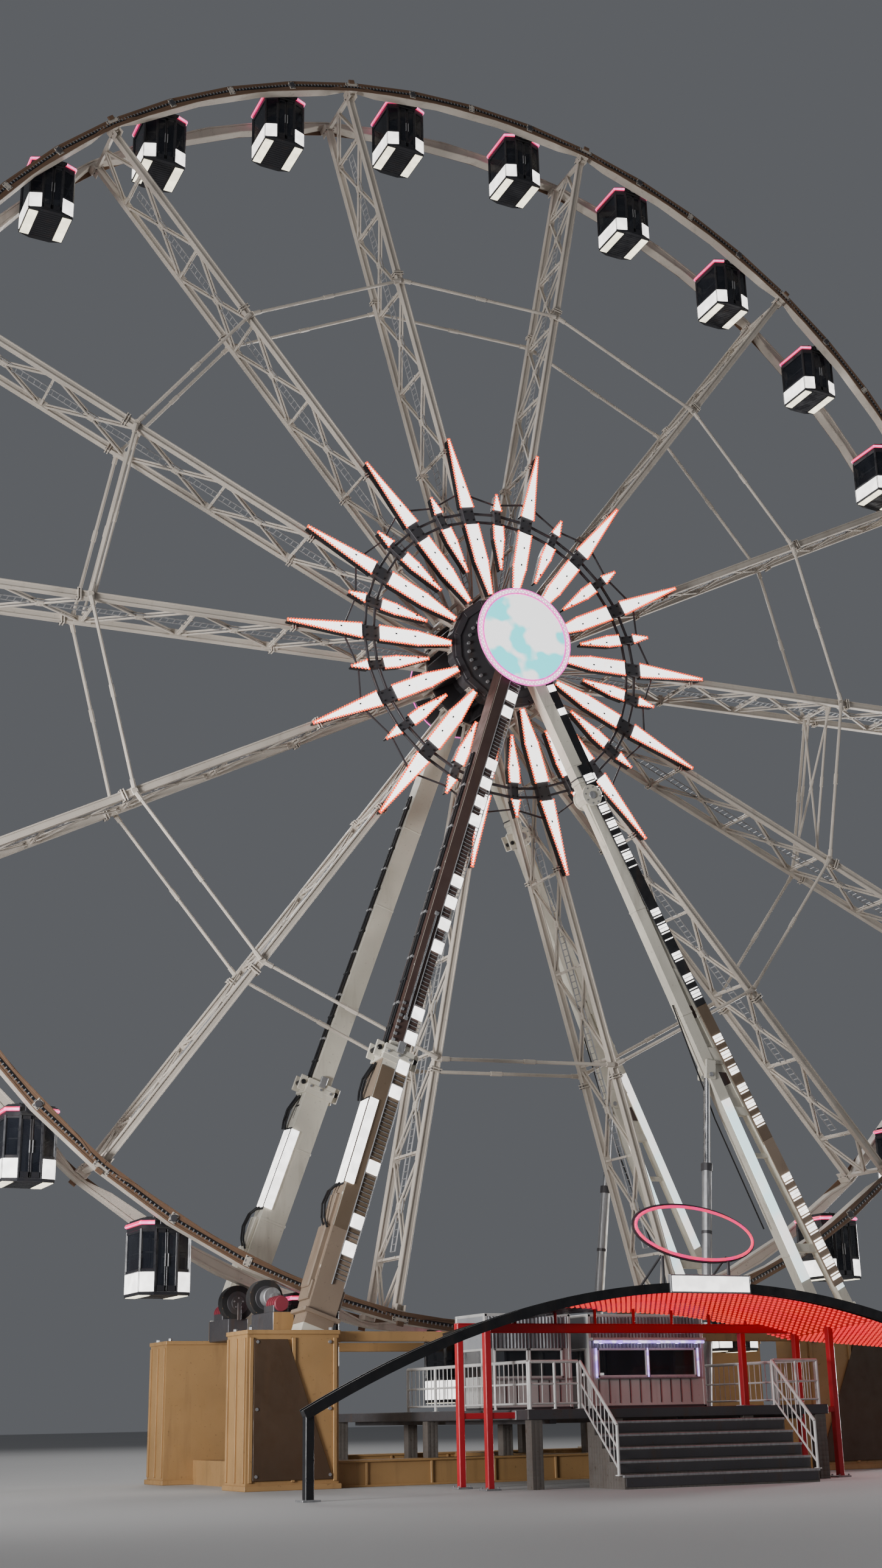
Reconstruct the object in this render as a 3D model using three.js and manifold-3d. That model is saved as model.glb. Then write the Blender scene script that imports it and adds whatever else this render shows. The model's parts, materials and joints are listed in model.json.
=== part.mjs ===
// Observation wheel with enclosed cabins, modelled at half its real size.
// Millimetres, Z up. The wheel turns about the Y axis, and its front faces -Y.
// The origin is on the ground, under the middle of the axle.

import * as THREE from 'three';
import { mergeVertices } from 'three/addons/utils/BufferGeometryUtils.js';
import Module from 'manifold-3d';

const wasm = await Module();
wasm.setup();

// Driving dimensions of the wheel
const SPOKE_COUNT = 14;
const CABINS_PER_BAY = 2;
const WHEEL_RADIUS = 10000;
const HUB_HEIGHT = 11840;
const FIRST_SPOKE_ANGLE = THREE.MathUtils.degToRad(-14.73);
const SPOKE_STEP = (2 * Math.PI) / SPOKE_COUNT;
const SEAT_GAP = 0.3;

// Rims: two rings of box beam, each shallower where a spoke meets it
const RIM_CENTRE_Y = 530;
const RIM_WIDTH = 155;
const RIM_OUTER_RADIUS = 10080;
const RIM_INNER_RADIUS = 9920;
const RIM_SEAT_HALF = 110;
const RIM_KINK_ANGLE = THREE.MathUtils.degToRad(2.7);
const RIM_OUTER_STEPS = 4;
const RIM_INNER_STEPS = 3;

// Spokes: flat trusses with a front and a back chord and crossed braces
const CHORD_Y = 440;
const CHORD_DEPTH = 90;
const CHORD_WIDTH = 110;
const SHOE_WIDTH = 160;
const SHOE_HEIGHT = 80;
const BRACE_FIRST_RADIUS = 9200;
const BRACE_PITCH = 1430;
const BRACE_PANELS = 5;
const BRACE_DEPTH = 45;
const BRACE_WIDTH = 70;

// Tie rods: a ring of straight rods from spoke to spoke, front and back
const TIE_RADIUS = 6460;
const TIE_THICKNESS = 45;

// Hub spool and the axle inside it
const HUB_SEAT_RADIUS = 880;
const HUB_HALF_LENGTH = 540;
const HUB_FLANGE_INNER_Y = 350;
const HUB_BARREL_RADIUS = 520;
const HUB_BORE_RADIUS = 270;
const AXLE_RADIUS = 250;
const AXLE_COLLAR_RADIUS = 360;
const AXLE_HEAD_RADIUS = 470;
const AXLE_HEAD_Y = 790;
const AXLE_END_Y = 1060;
const AXLE_FACETS = 16;

// Light discs on the two axle ends
const DISC_RADIUS = 740;
const DISC_FACE_Y = 1215;
const DISC_THICKNESS = 60;
const DISC_BOSS_RADIUS = 200;
const DISC_FACETS = 24;

// Star on the front of the hub: long rays on the spokes, short rays between them
const STAR_FRONT_Y = -620;
const STAR_RING_INNER = 2130;
const STAR_RING_OUTER = 2410;
const LONG_RAY_TIP = 3570;
const LONG_RAY_ROOT = 950;
const LONG_RAY_HALF_WIDTH = 112;
const SHORT_RAY_TIP = 2620;
const SHORT_RAY_ROOT = 1380;
const SHORT_RAY_HALF_WIDTH = 80;

// Cabins: an eight-sided plan with a doorway panel front and back
const CABIN_HALF_LENGTH = 331;
const CABIN_END_HALF_DEPTH = 316;
const CABIN_HALF_DEPTH = 380;
const CABIN_DOOR_HALF_WIDTH = 154;
const CABIN_ROOF_TOP = 50;
const CABIN_FLOOR_UNDER = -926;
const CABIN_FLOOR_TOP = -880;
const CABIN_WALL = 22;
const CABIN_SILL = -631;
const CABIN_WINDOW_TOP = -110;
const CABIN_POST = 45;
const CABIN_PIN_RADIUS = 36;
const CABIN_PIN_FACETS = 8;

// Legs: left ones telescope, right ones fold at a knuckle and end in two prongs
const LEG_TOP_Y = 950;
const LEG_FOOT_Y = 1550;
const LEG_FOOT_X = 3550;
const LEG_UPPER_SECTION = [290, 300];
const LEG_SLEEVE_SECTION = [380, 340];
const LEG_COLLAR_SECTION = [430, 390];
const LEG_ARM_SECTION = [190, 190];
const LEG_ARM_FOOT_X = 4330;
const LEG_PRONG_SECTION = [175, 175];
const LEG_PRONG_FOOT_X = 4215;
const LEG_SIDE_PRONG_SECTION = [145, 145];
const LEG_SIDE_PRONG_FOOT_X = 4850;
const LEG_WEB_SECTION = [240, 110];
const LEG_WEB_END = 0.7;
const PRONG_END = 1.06;
const SLEEVE_START = 0.644;
const UPPER_END = 0.7;
const KNUCKLE_START = 0.238;
const KNUCKLE_RADIUS = 150;
const KNUCKLE_LENGTH = 260;
const PROP_TOP = 0.632;
const PROP_FOOT_X = 2120;
const PROP_ROD_RADIUS = 46;
const PROP_BARREL_RADIUS = 62;
const PROP_BARREL_SHARE = 0.264;
const PROP_FACETS = 8;

// Base: sills, cross beams, four pedestals and the seats of the rim drives
const PEDESTAL_TOP = 1790;
const PEDESTAL_LEFT_X = [-4500, -3330];
const PEDESTAL_RIGHT_X = [3620, 5050];
const PEDESTAL_Y = [1200, 1900];
const SILL_HEIGHT = 300;
const SILL_WIDTH = 360;
const CROSS_BEAM_X = [-3915, 0, 4335];
const DRIVE_ARM_WIDTH = 260;
const DRIVE_ARM_HEIGHT = 260;
const DRIVE_ARM_INNER_Y = 440;
const DRIVE_SINK = 20;
const DRIVE_ANGLE = THREE.MathUtils.degToRad(21.5);
const DRIVE_TYRE_RADIUS = 225;
const DRIVE_CLEARANCE = 6;
const DRIVE_TYRE_WIDTH = 150;
const DRIVE_TYRE_FACETS = 10;

// Boarding platform and its stair
const DECK_TOP = 830;
const DECK_THICKNESS = 90;
const DECK_HALF_X = 2050;
const DECK_FRONT_Y = -4300;
const DECK_BACK_Y = 1350;
const DECK_LEG = 140;
const DECK_LEG_X = [-1950, -900, 900, 1950];
const STAIR_STEPS = 5;
const STAIR_TREAD = 150;
const STAIR_HALF_WIDTH = 1300;

// Canopy over the entrance; its right side runs on as a flatter wing
const CANOPY_HALF_SPAN = 2480;
const CANOPY_CROWN = 2190;
const CANOPY_EDGE = 1867;
const WING_END = 4100;
const WING_SLOPE = 0.14;
const WING_STRUT_X = [3400, 4060];
const WING_STRUT_WIDTH = 70;
const CANOPY_THICKNESS = 60;
const CANOPY_SKIN = 2;
const CANOPY_FRONT_Y = -5000;
const CANOPY_BACK_Y = -3000;
const CANOPY_STEPS = 12;
const CANOPY_POST = 90;
const ARCH_HALF_SPAN = 5000;
const ARCH_DEPTH = 100;
const ARCH_WIDTH = 110;
const ARCH_STEPS = 5;
const CANOPY_POST_X = 2400;
const DECK_TIE_HEIGHT = 70;
const CANOPY_BEAM_LOW = 1700;
const CANOPY_BEAM_HEIGHT = 110;
const CANOPY_BEAM_Y = -3300;
const SIGN_SIZE = [1100, 60, 205];
const SIGN_LOW = 2065;

// Operator's booth and ticket booth on the deck
const BOOTH_X = [-1750, -550];
const TICKET_BOOTH_X = [-300, 1400];
const BOOTH_Y = [-2700, -1900];
const BOOTH_HEIGHT = 1130;
const BOOTH_WALL = 40;
const BOOTH_SILL = 370;
const BOOTH_WINDOW_TOP = 720;
const BOOTH_WINDOW_INSET = 120;
const BOOTH_DOOR = [300, 700];
const BOOTH_DOOR_TOP = 1010;

// A closed mesh becomes a solid once its shared vertices are merged
function toSolid(geometry) {
  const bare = geometry.clone();
  bare.deleteAttribute('normal');
  bare.deleteAttribute('uv');
  const merged = mergeVertices(bare, 1e-3);
  return new wasm.Manifold(new wasm.Mesh({
    numProp: 3,
    vertProperties: new Float32Array(merged.attributes.position.array),
    triVerts: new Uint32Array(merged.index.array),
  }));
}

function toGeometry(solid) {
  const mesh = solid.getMesh();
  const geometry = new THREE.BufferGeometry();
  geometry.setAttribute('position', new THREE.BufferAttribute(Float32Array.from(mesh.vertProperties), 3));
  geometry.setIndex(new THREE.BufferAttribute(Uint32Array.from(mesh.triVerts), 1));
  return geometry;
}

function join(solids) {
  return solids.reduce((whole, next) => whole.add(next));
}

// A box from its low to its high corner
function block(low, high) {
  const size = high.map((value, axis) => value - low[axis]);
  const middle = high.map((value, axis) => (value + low[axis]) / 2);
  const geometry = new THREE.BoxGeometry(...size);
  geometry.translate(...middle);
  return toSolid(geometry);
}

// A straight bar of rectangular section; its first section side lies in the XZ plane
function bar(start, end, section) {
  const from = new THREE.Vector3(...start);
  const to = new THREE.Vector3(...end);
  const along = to.clone().sub(from);
  const geometry = new THREE.BoxGeometry(section[0], section[1], along.length());
  const zAxis = along.clone().normalize();
  const xAxis = new THREE.Vector3(0, 1, 0).cross(zAxis);
  if (xAxis.length() < 0.01) {
    xAxis.set(1, 0, 0);
  }
  xAxis.normalize();
  const yAxis = zAxis.clone().cross(xAxis);
  geometry.applyMatrix4(new THREE.Matrix4().makeBasis(xAxis, yAxis, zAxis));
  geometry.translate(...from.add(to).multiplyScalar(0.5).toArray());
  return toSolid(geometry);
}

// A round rod between two points
function rod(start, end, radius, facets) {
  const from = new THREE.Vector3(...start);
  const to = new THREE.Vector3(...end);
  const along = to.clone().sub(from);
  const geometry = new THREE.CylinderGeometry(radius, radius, along.length(), facets);
  const up = new THREE.Vector3(0, 1, 0);
  geometry.applyQuaternion(new THREE.Quaternion().setFromUnitVectors(up, along.normalize()));
  geometry.translate(...from.add(to).multiplyScalar(0.5).toArray());
  return toSolid(geometry);
}

// A round bar along Y, the way every pivot of the wheel points
function pin(x, z, yLow, yHigh, radius, facets) {
  const geometry = new THREE.CylinderGeometry(radius, radius, yHigh - yLow, facets);
  geometry.translate(x, (yLow + yHigh) / 2, z);
  return toSolid(geometry);
}

// A loop of [x, y] points, counterclockwise for an outline and clockwise for its hole
function loop(points, clockwise) {
  const vectors = points.map(([x, y]) => new THREE.Vector2(x, y));
  return THREE.ShapeUtils.isClockWise(vectors) === clockwise ? vectors : vectors.reverse();
}

// A flat outline in the XZ plane, given as [x, z] points, made yLow to yHigh deep
function plate(outline, yLow, yHigh, hole) {
  const shape = new THREE.Shape(loop(outline, false));
  if (hole) {
    shape.holes.push(new THREE.Path(loop(hole, true)));
  }
  const geometry = new THREE.ExtrudeGeometry(shape, { depth: yHigh - yLow, bevelEnabled: false });
  geometry.rotateX(Math.PI / 2);
  geometry.translate(0, yHigh, 0);
  return geometry;
}

// A point of the wheel's plane, turned clockwise from straight up as seen from the front
function onWheel(radius, angle, sideways = 0) {
  const x = radius * Math.sin(angle) + sideways * Math.cos(angle);
  const z = radius * Math.cos(angle) - sideways * Math.sin(angle);
  return [x, z];
}

function spokeAngle(index) {
  return FIRST_SPOKE_ANGLE + index * SPOKE_STEP;
}

function rimGeometry(yLow, yHigh) {
  const outer = [];
  const inner = [];
  for (let bay = 0; bay < SPOKE_COUNT; bay += 1) {
    const angle = spokeAngle(bay);
    for (let step = 0; step < RIM_OUTER_STEPS; step += 1) {
      outer.push(onWheel(RIM_OUTER_RADIUS, angle + (step * SPOKE_STEP) / RIM_OUTER_STEPS));
    }
    inner.push(onWheel(WHEEL_RADIUS, angle, -RIM_SEAT_HALF));
    inner.push(onWheel(WHEEL_RADIUS, angle, RIM_SEAT_HALF));
    const span = SPOKE_STEP - 2 * RIM_KINK_ANGLE;
    for (let step = 0; step <= RIM_INNER_STEPS; step += 1) {
      inner.push(onWheel(RIM_INNER_RADIUS, angle + RIM_KINK_ANGLE + (step * span) / RIM_INNER_STEPS));
    }
  }
  return plate(outer, yLow, yHigh, inner);
}

// One spoke, drawn upright from the hub; a shoe on each chord carries the rim
function spokeGeometry() {
  const bars = [];
  const root = HUB_SEAT_RADIUS + SEAT_GAP;
  const tip = WHEEL_RADIUS - SEAT_GAP;
  for (const side of [-1, 1]) {
    const y = side * CHORD_Y;
    const low = [-CHORD_WIDTH / 2, y - CHORD_DEPTH / 2, root];
    bars.push(block(low, [CHORD_WIDTH / 2, y + CHORD_DEPTH / 2, tip]));
    const shoe = [side * (CHORD_Y - CHORD_DEPTH / 2), side * (RIM_CENTRE_Y + RIM_WIDTH / 2)];
    const shoeLow = [-SHOE_WIDTH / 2, Math.min(...shoe), tip - SHOE_HEIGHT];
    bars.push(block(shoeLow, [SHOE_WIDTH / 2, Math.max(...shoe), tip]));
  }
  const section = [BRACE_WIDTH, BRACE_DEPTH];
  for (let panel = 0; panel < BRACE_PANELS; panel += 1) {
    const outer = BRACE_FIRST_RADIUS - panel * BRACE_PITCH;
    const inner = outer - BRACE_PITCH;
    bars.push(bar([0, -CHORD_Y, outer], [0, CHORD_Y, inner], section));
    bars.push(bar([0, CHORD_Y, outer], [0, -CHORD_Y, inner], section));
  }
  bars.push(bar([0, -CHORD_Y, BRACE_FIRST_RADIUS], [0, CHORD_Y, BRACE_FIRST_RADIUS], section));
  return toGeometry(join(bars));
}

function tieRingGeometry(yLow, yHigh) {
  const outer = [];
  const inner = [];
  for (let index = 0; index < SPOKE_COUNT; index += 1) {
    outer.push(onWheel(TIE_RADIUS + TIE_THICKNESS / 2, spokeAngle(index)));
    inner.push(onWheel(TIE_RADIUS - TIE_THICKNESS / 2, spokeAngle(index)));
  }
  return plate(outer, yLow, yHigh, inner);
}

// A solid of revolution about the axle from [radius, y] points
function turned(profile, facets, start = 0) {
  const points = profile.map(([radius, y]) => new THREE.Vector2(radius, y));
  return new THREE.LatheGeometry(points, facets, start, 2 * Math.PI);
}

// The spool's rim is cut into flats, one under each spoke
function hubGeometry() {
  const corner = HUB_SEAT_RADIUS / Math.cos(SPOKE_STEP / 2);
  const profile = [
    [HUB_BORE_RADIUS, -HUB_HALF_LENGTH],
    [corner, -HUB_HALF_LENGTH],
    [corner, -HUB_FLANGE_INNER_Y],
    [HUB_BARREL_RADIUS, -HUB_FLANGE_INNER_Y],
    [HUB_BARREL_RADIUS, HUB_FLANGE_INNER_Y],
    [corner, HUB_FLANGE_INNER_Y],
    [corner, HUB_HALF_LENGTH],
    [HUB_BORE_RADIUS, HUB_HALF_LENGTH],
    [HUB_BORE_RADIUS, -HUB_HALF_LENGTH],
  ];
  return turned(profile, SPOKE_COUNT, FIRST_SPOKE_ANGLE + SPOKE_STEP / 2);
}

function axleGeometry() {
  const collarY = HUB_HALF_LENGTH + SEAT_GAP;
  const half = [
    [AXLE_RADIUS, collarY],
    [AXLE_COLLAR_RADIUS, collarY],
    [AXLE_COLLAR_RADIUS, AXLE_HEAD_Y],
    [AXLE_HEAD_RADIUS, AXLE_HEAD_Y],
    [AXLE_HEAD_RADIUS, AXLE_END_Y],
    [0, AXLE_END_Y],
  ];
  const mirrored = half.map(([radius, y]) => [radius, -y]).reverse();
  return turned([...mirrored, ...half], AXLE_FACETS);
}

function discGeometry(side) {
  const seat = AXLE_END_Y + SEAT_GAP;
  const back = DISC_FACE_Y - DISC_THICKNESS;
  const half = [
    [0, seat],
    [DISC_BOSS_RADIUS, seat],
    [DISC_BOSS_RADIUS, back],
    [DISC_RADIUS, back],
    [DISC_RADIUS, DISC_FACE_Y],
    [0, DISC_FACE_Y],
  ];
  const profile = side > 0 ? half : half.map(([radius, y]) => [radius, -y]).reverse();
  return turned(profile, DISC_FACETS);
}

// The star is one flat box: a ring with rays outward and inward, seated on the front chords
function starGeometry() {
  const outline = [];
  const hole = [];
  for (let index = 0; index < 2 * SPOKE_COUNT; index += 1) {
    const angle = spokeAngle(index / 2);
    const long = index % 2 === 0;
    const half = long ? LONG_RAY_HALF_WIDTH : SHORT_RAY_HALF_WIDTH;
    outline.push(onWheel(STAR_RING_OUTER, angle, -half));
    outline.push(onWheel(long ? LONG_RAY_TIP : SHORT_RAY_TIP, angle));
    outline.push(onWheel(STAR_RING_OUTER, angle, half));
    hole.push(onWheel(STAR_RING_INNER, angle, -half));
    hole.push(onWheel(long ? LONG_RAY_ROOT : SHORT_RAY_ROOT, angle));
    hole.push(onWheel(STAR_RING_INNER, angle, half));
  }
  return plate(outline, STAR_FRONT_Y, -CHORD_Y - CHORD_DEPTH / 2 - SEAT_GAP, hole);
}

// The cabin's outer form: an upright prism on its eight-sided plan
function cabinPrism(zLow, zHigh) {
  const length = CABIN_HALF_LENGTH;
  const door = CABIN_DOOR_HALF_WIDTH;
  const back = [
    [length, CABIN_END_HALF_DEPTH],
    [door, CABIN_HALF_DEPTH],
    [-door, CABIN_HALF_DEPTH],
    [-length, CABIN_END_HALF_DEPTH],
  ];
  const plan = [...back, ...back.map(([x, y]) => [-x, -y])];
  const shape = new THREE.Shape(loop(plan, false));
  const geometry = new THREE.ExtrudeGeometry(shape, { depth: zHigh - zLow, bevelEnabled: false });
  geometry.translate(0, 0, zLow);
  return toSolid(geometry);
}

// One cabin about its pivot: floor, wall band, corner posts, roof and the two pivot pins
function cabinGeometry() {
  const reach = 2 * CABIN_HALF_LENGTH;
  const endWindow = CABIN_END_HALF_DEPTH - CABIN_POST;
  const sideWindow = CABIN_HALF_LENGTH - CABIN_POST;
  const pinEnd = RIM_CENTRE_Y - RIM_WIDTH / 2 - SEAT_GAP;
  const shell = cabinPrism(CABIN_FLOOR_UNDER, CABIN_ROOF_TOP);
  const roomX = CABIN_HALF_LENGTH - CABIN_WALL;
  const roomY = CABIN_END_HALF_DEPTH - CABIN_WALL;
  const room = block([-roomX, -roomY, CABIN_FLOOR_TOP], [roomX, roomY, CABIN_WINDOW_TOP]);
  const endCut = block([-reach, -endWindow, CABIN_SILL], [reach, endWindow, CABIN_WINDOW_TOP]);
  const sideCut = block([-sideWindow, -reach, CABIN_SILL], [sideWindow, reach, CABIN_WINDOW_TOP]);
  const pins = pin(0, 0, -pinEnd, pinEnd, CABIN_PIN_RADIUS, CABIN_PIN_FACETS);
  return toGeometry(shell.add(pins).subtract(room).subtract(endCut).subtract(sideCut));
}

// The line of a leg: 0 at the axle head, 1 on top of the pedestal
function legPoint(sideX, sideY, share, footX = LEG_FOOT_X) {
  const x = sideX * footX * share;
  const y = sideY * (LEG_TOP_Y + (LEG_FOOT_Y - LEG_TOP_Y) * share);
  const z = HUB_HEIGHT + (PEDESTAL_TOP - HUB_HEIGHT) * share;
  return [x, y, z];
}

// A leg is cut clear of the axle head at its top and flat on the pedestal at its foot
function trimLeg(leg, sideY) {
  const yHead = sideY * (AXLE_HEAD_Y + AXLE_END_Y) / 2;
  const half = (AXLE_END_Y - AXLE_HEAD_Y) / 2 + LEG_UPPER_SECTION[1];
  const socket = AXLE_HEAD_RADIUS + SEAT_GAP;
  const head = pin(0, HUB_HEIGHT, yHead - half, yHead + half, socket, AXLE_FACETS);
  const far = 2 * WHEEL_RADIUS;
  const below = block([-far, -far, -far], [far, far, PEDESTAL_TOP + SEAT_GAP]);
  return leg.subtract(head).subtract(below);
}

function telescopicLeg(sideX, sideY) {
  const at = (share) => legPoint(sideX, sideY, share);
  const leg = join([
    bar(at(0), at(UPPER_END), LEG_UPPER_SECTION),
    bar(at(SLEEVE_START), at(1.06), LEG_SLEEVE_SECTION),
    bar(at(SLEEVE_START), at(SLEEVE_START + 0.02), LEG_COLLAR_SECTION),
  ]);
  return toGeometry(trimLeg(leg, sideY));
}

// An arm comes down to the knuckle, and two prongs with a web between them go on to the pedestal
function foldingLeg(sideX, sideY) {
  const between = (start, end, share) => start.map((value, axis) => value + (end[axis] - value) * share);
  const top = legPoint(sideX, sideY, 0);
  const knuckle = legPoint(sideX, sideY, KNUCKLE_START, LEG_ARM_FOOT_X);
  const halfKnuckle = KNUCKLE_LENGTH / 2;
  const prong = legPoint(sideX, sideY, PRONG_END, LEG_PRONG_FOOT_X);
  const sideProng = legPoint(sideX, sideY, PRONG_END, LEG_SIDE_PRONG_FOOT_X);
  const alongProng = (share) => (share - KNUCKLE_START) / (PRONG_END - KNUCKLE_START);
  const webEnd = between(knuckle, between(prong, sideProng, 0.5), alongProng(LEG_WEB_END));
  const propTop = between(knuckle, prong, alongProng(PROP_TOP));
  const propFoot = [sideX * PROP_FOOT_X, sideY * LEG_FOOT_Y, 0];
  const propJoint = between(propTop, propFoot, PROP_BARREL_SHARE);
  const belowSill = block([-WHEEL_RADIUS, -WHEEL_RADIUS, -SILL_HEIGHT], [
    WHEEL_RADIUS, WHEEL_RADIUS, SILL_HEIGHT + SEAT_GAP]);
  const prop = join([
    rod(propTop, propJoint, PROP_ROD_RADIUS, PROP_FACETS),
    rod(propJoint, propFoot, PROP_BARREL_RADIUS, PROP_FACETS),
  ]).subtract(belowSill);
  const leg = join([
    bar(top, knuckle, LEG_ARM_SECTION),
    pin(knuckle[0], knuckle[2], knuckle[1] - halfKnuckle, knuckle[1] + halfKnuckle, KNUCKLE_RADIUS, 12),
    bar(knuckle, prong, LEG_PRONG_SECTION),
    bar(knuckle, sideProng, LEG_SIDE_PRONG_SECTION),
    bar(knuckle, webEnd, LEG_WEB_SECTION),
  ]);
  return toGeometry(trimLeg(leg, sideY).add(prop));
}

function baseGeometry() {
  const solids = [];
  const sillMiddle = (PEDESTAL_Y[0] + PEDESTAL_Y[1]) / 2;
  for (const side of [-1, 1]) {
    const sillY = [side * sillMiddle - SILL_WIDTH / 2, side * sillMiddle + SILL_WIDTH / 2];
    solids.push(block([PEDESTAL_LEFT_X[0], sillY[0], 0], [PEDESTAL_RIGHT_X[1], sillY[1], SILL_HEIGHT]));
    for (const xs of [PEDESTAL_LEFT_X, PEDESTAL_RIGHT_X]) {
      const ys = PEDESTAL_Y.map((y) => side * y).sort((a, b) => a - b);
      solids.push(block([xs[0], ys[0], 0], [xs[1], ys[1], PEDESTAL_TOP]));
    }
  }
  for (const x of CROSS_BEAM_X) {
    const low = [x - SILL_WIDTH / 2, -sillMiddle, 0];
    solids.push(block(low, [x + SILL_WIDTH / 2, sillMiddle, SILL_HEIGHT]));
  }
  for (const sideX of [-1, 1]) {
    for (const sideY of [-1, 1]) {
      solids.push(...rimDrive(sideX, sideY));
    }
  }
  return toGeometry(join(solids));
}

// A rim drive: its tyre turns just under the rim, on an arm that reaches in from the pedestal
function rimDrive(sideX, sideY) {
  const radius = RIM_OUTER_RADIUS + DRIVE_CLEARANCE + DRIVE_TYRE_RADIUS;
  const x = sideX * radius * Math.sin(DRIVE_ANGLE);
  const z = HUB_HEIGHT - radius * Math.cos(DRIVE_ANGLE);
  const half = DRIVE_TYRE_WIDTH / 2;
  const top = z - DRIVE_TYRE_RADIUS + DRIVE_SINK;
  const span = (low, high) => [sideY * low, sideY * high].sort((a, b) => a - b);
  const [armLow, armHigh] = span(DRIVE_ARM_INNER_Y, PEDESTAL_Y[0] + DRIVE_SINK);
  const arm = DRIVE_ARM_WIDTH / 2;
  const y = sideY * RIM_CENTRE_Y;
  return [
    pin(x, z, y - half, y + half, DRIVE_TYRE_RADIUS, DRIVE_TYRE_FACETS),
    block([x - arm, armLow, top - DRIVE_ARM_HEIGHT], [x + arm, armHigh, top]),
  ];
}

// The deck stands on short legs inside the base frame, with a stair at its front
function platformGeometry() {
  const under = DECK_TOP - DECK_THICKNESS;
  const solids = [block([-DECK_HALF_X, DECK_FRONT_Y, under], [DECK_HALF_X, DECK_BACK_Y, DECK_TOP])];
  const onSill = -(PEDESTAL_Y[0] + PEDESTAL_Y[1] + DECK_LEG) / 2;
  const rows = [[DECK_FRONT_Y, 0], [onSill, SILL_HEIGHT + SEAT_GAP], [DECK_BACK_Y - DECK_LEG, 0]];
  const half = DECK_LEG / 2;
  for (const x of DECK_LEG_X) {
    for (const [y, foot] of rows) {
      solids.push(block([x - half, y, foot], [x + half, y + DECK_LEG, DECK_TOP - 10]));
    }
  }
  const rise = DECK_TOP / (STAIR_STEPS + 1);
  for (let step = 0; step < STAIR_STEPS; step += 1) {
    const top = rise * (step + 1);
    const front = DECK_FRONT_Y - (STAIR_STEPS - step) * STAIR_TREAD;
    solids.push(block([-STAIR_HALF_WIDTH, front, 0], [STAIR_HALF_WIDTH, DECK_FRONT_Y + 5, top]));
  }
  return toGeometry(join(solids));
}

function canopyHeight(x) {
  const share = x / CANOPY_HALF_SPAN;
  return CANOPY_CROWN - (CANOPY_CROWN - CANOPY_EDGE) * share * share;
}

function roofHeight(x) {
  const beyond = Math.max(x - CANOPY_HALF_SPAN, 0);
  return canopyHeight(x - beyond) - WING_SLOPE * beyond;
}

// The arch under the canopy's front edge runs on to a post on each side
function archSolids() {
  const solids = [];
  const yLow = CANOPY_FRONT_Y;
  const step = (ARCH_HALF_SPAN - CANOPY_HALF_SPAN) / ARCH_STEPS;
  for (const side of [-1, 1]) {
    const upper = [];
    const lower = [];
    for (let index = -1; index <= ARCH_STEPS; index += 1) {
      const x = side * (CANOPY_HALF_SPAN + index * step);
      upper.push([x, canopyHeight(x) - CANOPY_SKIN]);
      lower.unshift([x, canopyHeight(x) - CANOPY_SKIN - ARCH_DEPTH]);
    }
    solids.push(toSolid(plate([...upper, ...lower], yLow, yLow + ARCH_WIDTH)));
    const foot = [side * ARCH_HALF_SPAN, side * (ARCH_HALF_SPAN - ARCH_WIDTH)].sort((a, b) => a - b);
    const top = canopyHeight(ARCH_HALF_SPAN) - CANOPY_SKIN - ARCH_DEPTH / 2;
    solids.push(block([foot[0], yLow, 0], [foot[1], yLow + ARCH_WIDTH, top]));
  }
  for (const x of WING_STRUT_X) {
    const low = canopyHeight(x) - CANOPY_SKIN - ARCH_DEPTH / 2;
    const high = roofHeight(x) - CANOPY_THICKNESS / 2;
    const half = WING_STRUT_WIDTH / 2;
    const yHigh = yLow + ARCH_WIDTH - CANOPY_SKIN;
    solids.push(block([x - half, yLow + CANOPY_SKIN, low], [x + half, yHigh, high]));
  }
  return solids;
}

function canopyGeometry() {
  const upper = [];
  const lower = [];
  for (let step = 0; step <= CANOPY_STEPS; step += 1) {
    const x = CANOPY_HALF_SPAN * ((2 * step) / CANOPY_STEPS - 1);
    upper.push([x, roofHeight(x)]);
    lower.unshift([x, roofHeight(x) - CANOPY_THICKNESS]);
  }
  upper.push([WING_END, roofHeight(WING_END)]);
  lower.unshift([WING_END, roofHeight(WING_END) - CANOPY_THICKNESS]);
  const roof = toSolid(plate([...upper, ...lower], CANOPY_FRONT_Y, CANOPY_BACK_Y));
  const solids = [roof, ...archSolids()];
  const half = CANOPY_POST / 2;
  const tieLow = DECK_TOP - DECK_THICKNESS + 5;
  for (const side of [-1, 1]) {
    const x = side * CANOPY_POST_X;
    const top = canopyHeight(CANOPY_POST_X) - 20;
    for (const y of [CANOPY_BEAM_Y, DECK_FRONT_Y + 300]) {
      solids.push(block([x - half, y - half, 0], [x + half, y + half, top]));
      const tie = [side * (DECK_HALF_X + SEAT_GAP), x].sort((a, b) => a - b);
      solids.push(block([tie[0], y - half + 10, tieLow], [tie[1], y + half - 10, tieLow + DECK_TIE_HEIGHT]));
    }
  }
  const beamEnd = CANOPY_POST_X + half;
  solids.push(block(
    [-beamEnd, CANOPY_BEAM_Y - half, CANOPY_BEAM_LOW],
    [beamEnd, CANOPY_BEAM_Y + half, CANOPY_BEAM_LOW + CANOPY_BEAM_HEIGHT],
  ));
  solids.push(block(
    [-SIGN_SIZE[0] / 2, CANOPY_FRONT_Y - SIGN_SIZE[1] / 2, SIGN_LOW],
    [SIGN_SIZE[0] / 2, CANOPY_FRONT_Y + SIGN_SIZE[1] / 2, SIGN_LOW + SIGN_SIZE[2]],
  ));
  return toGeometry(join(solids));
}

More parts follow.
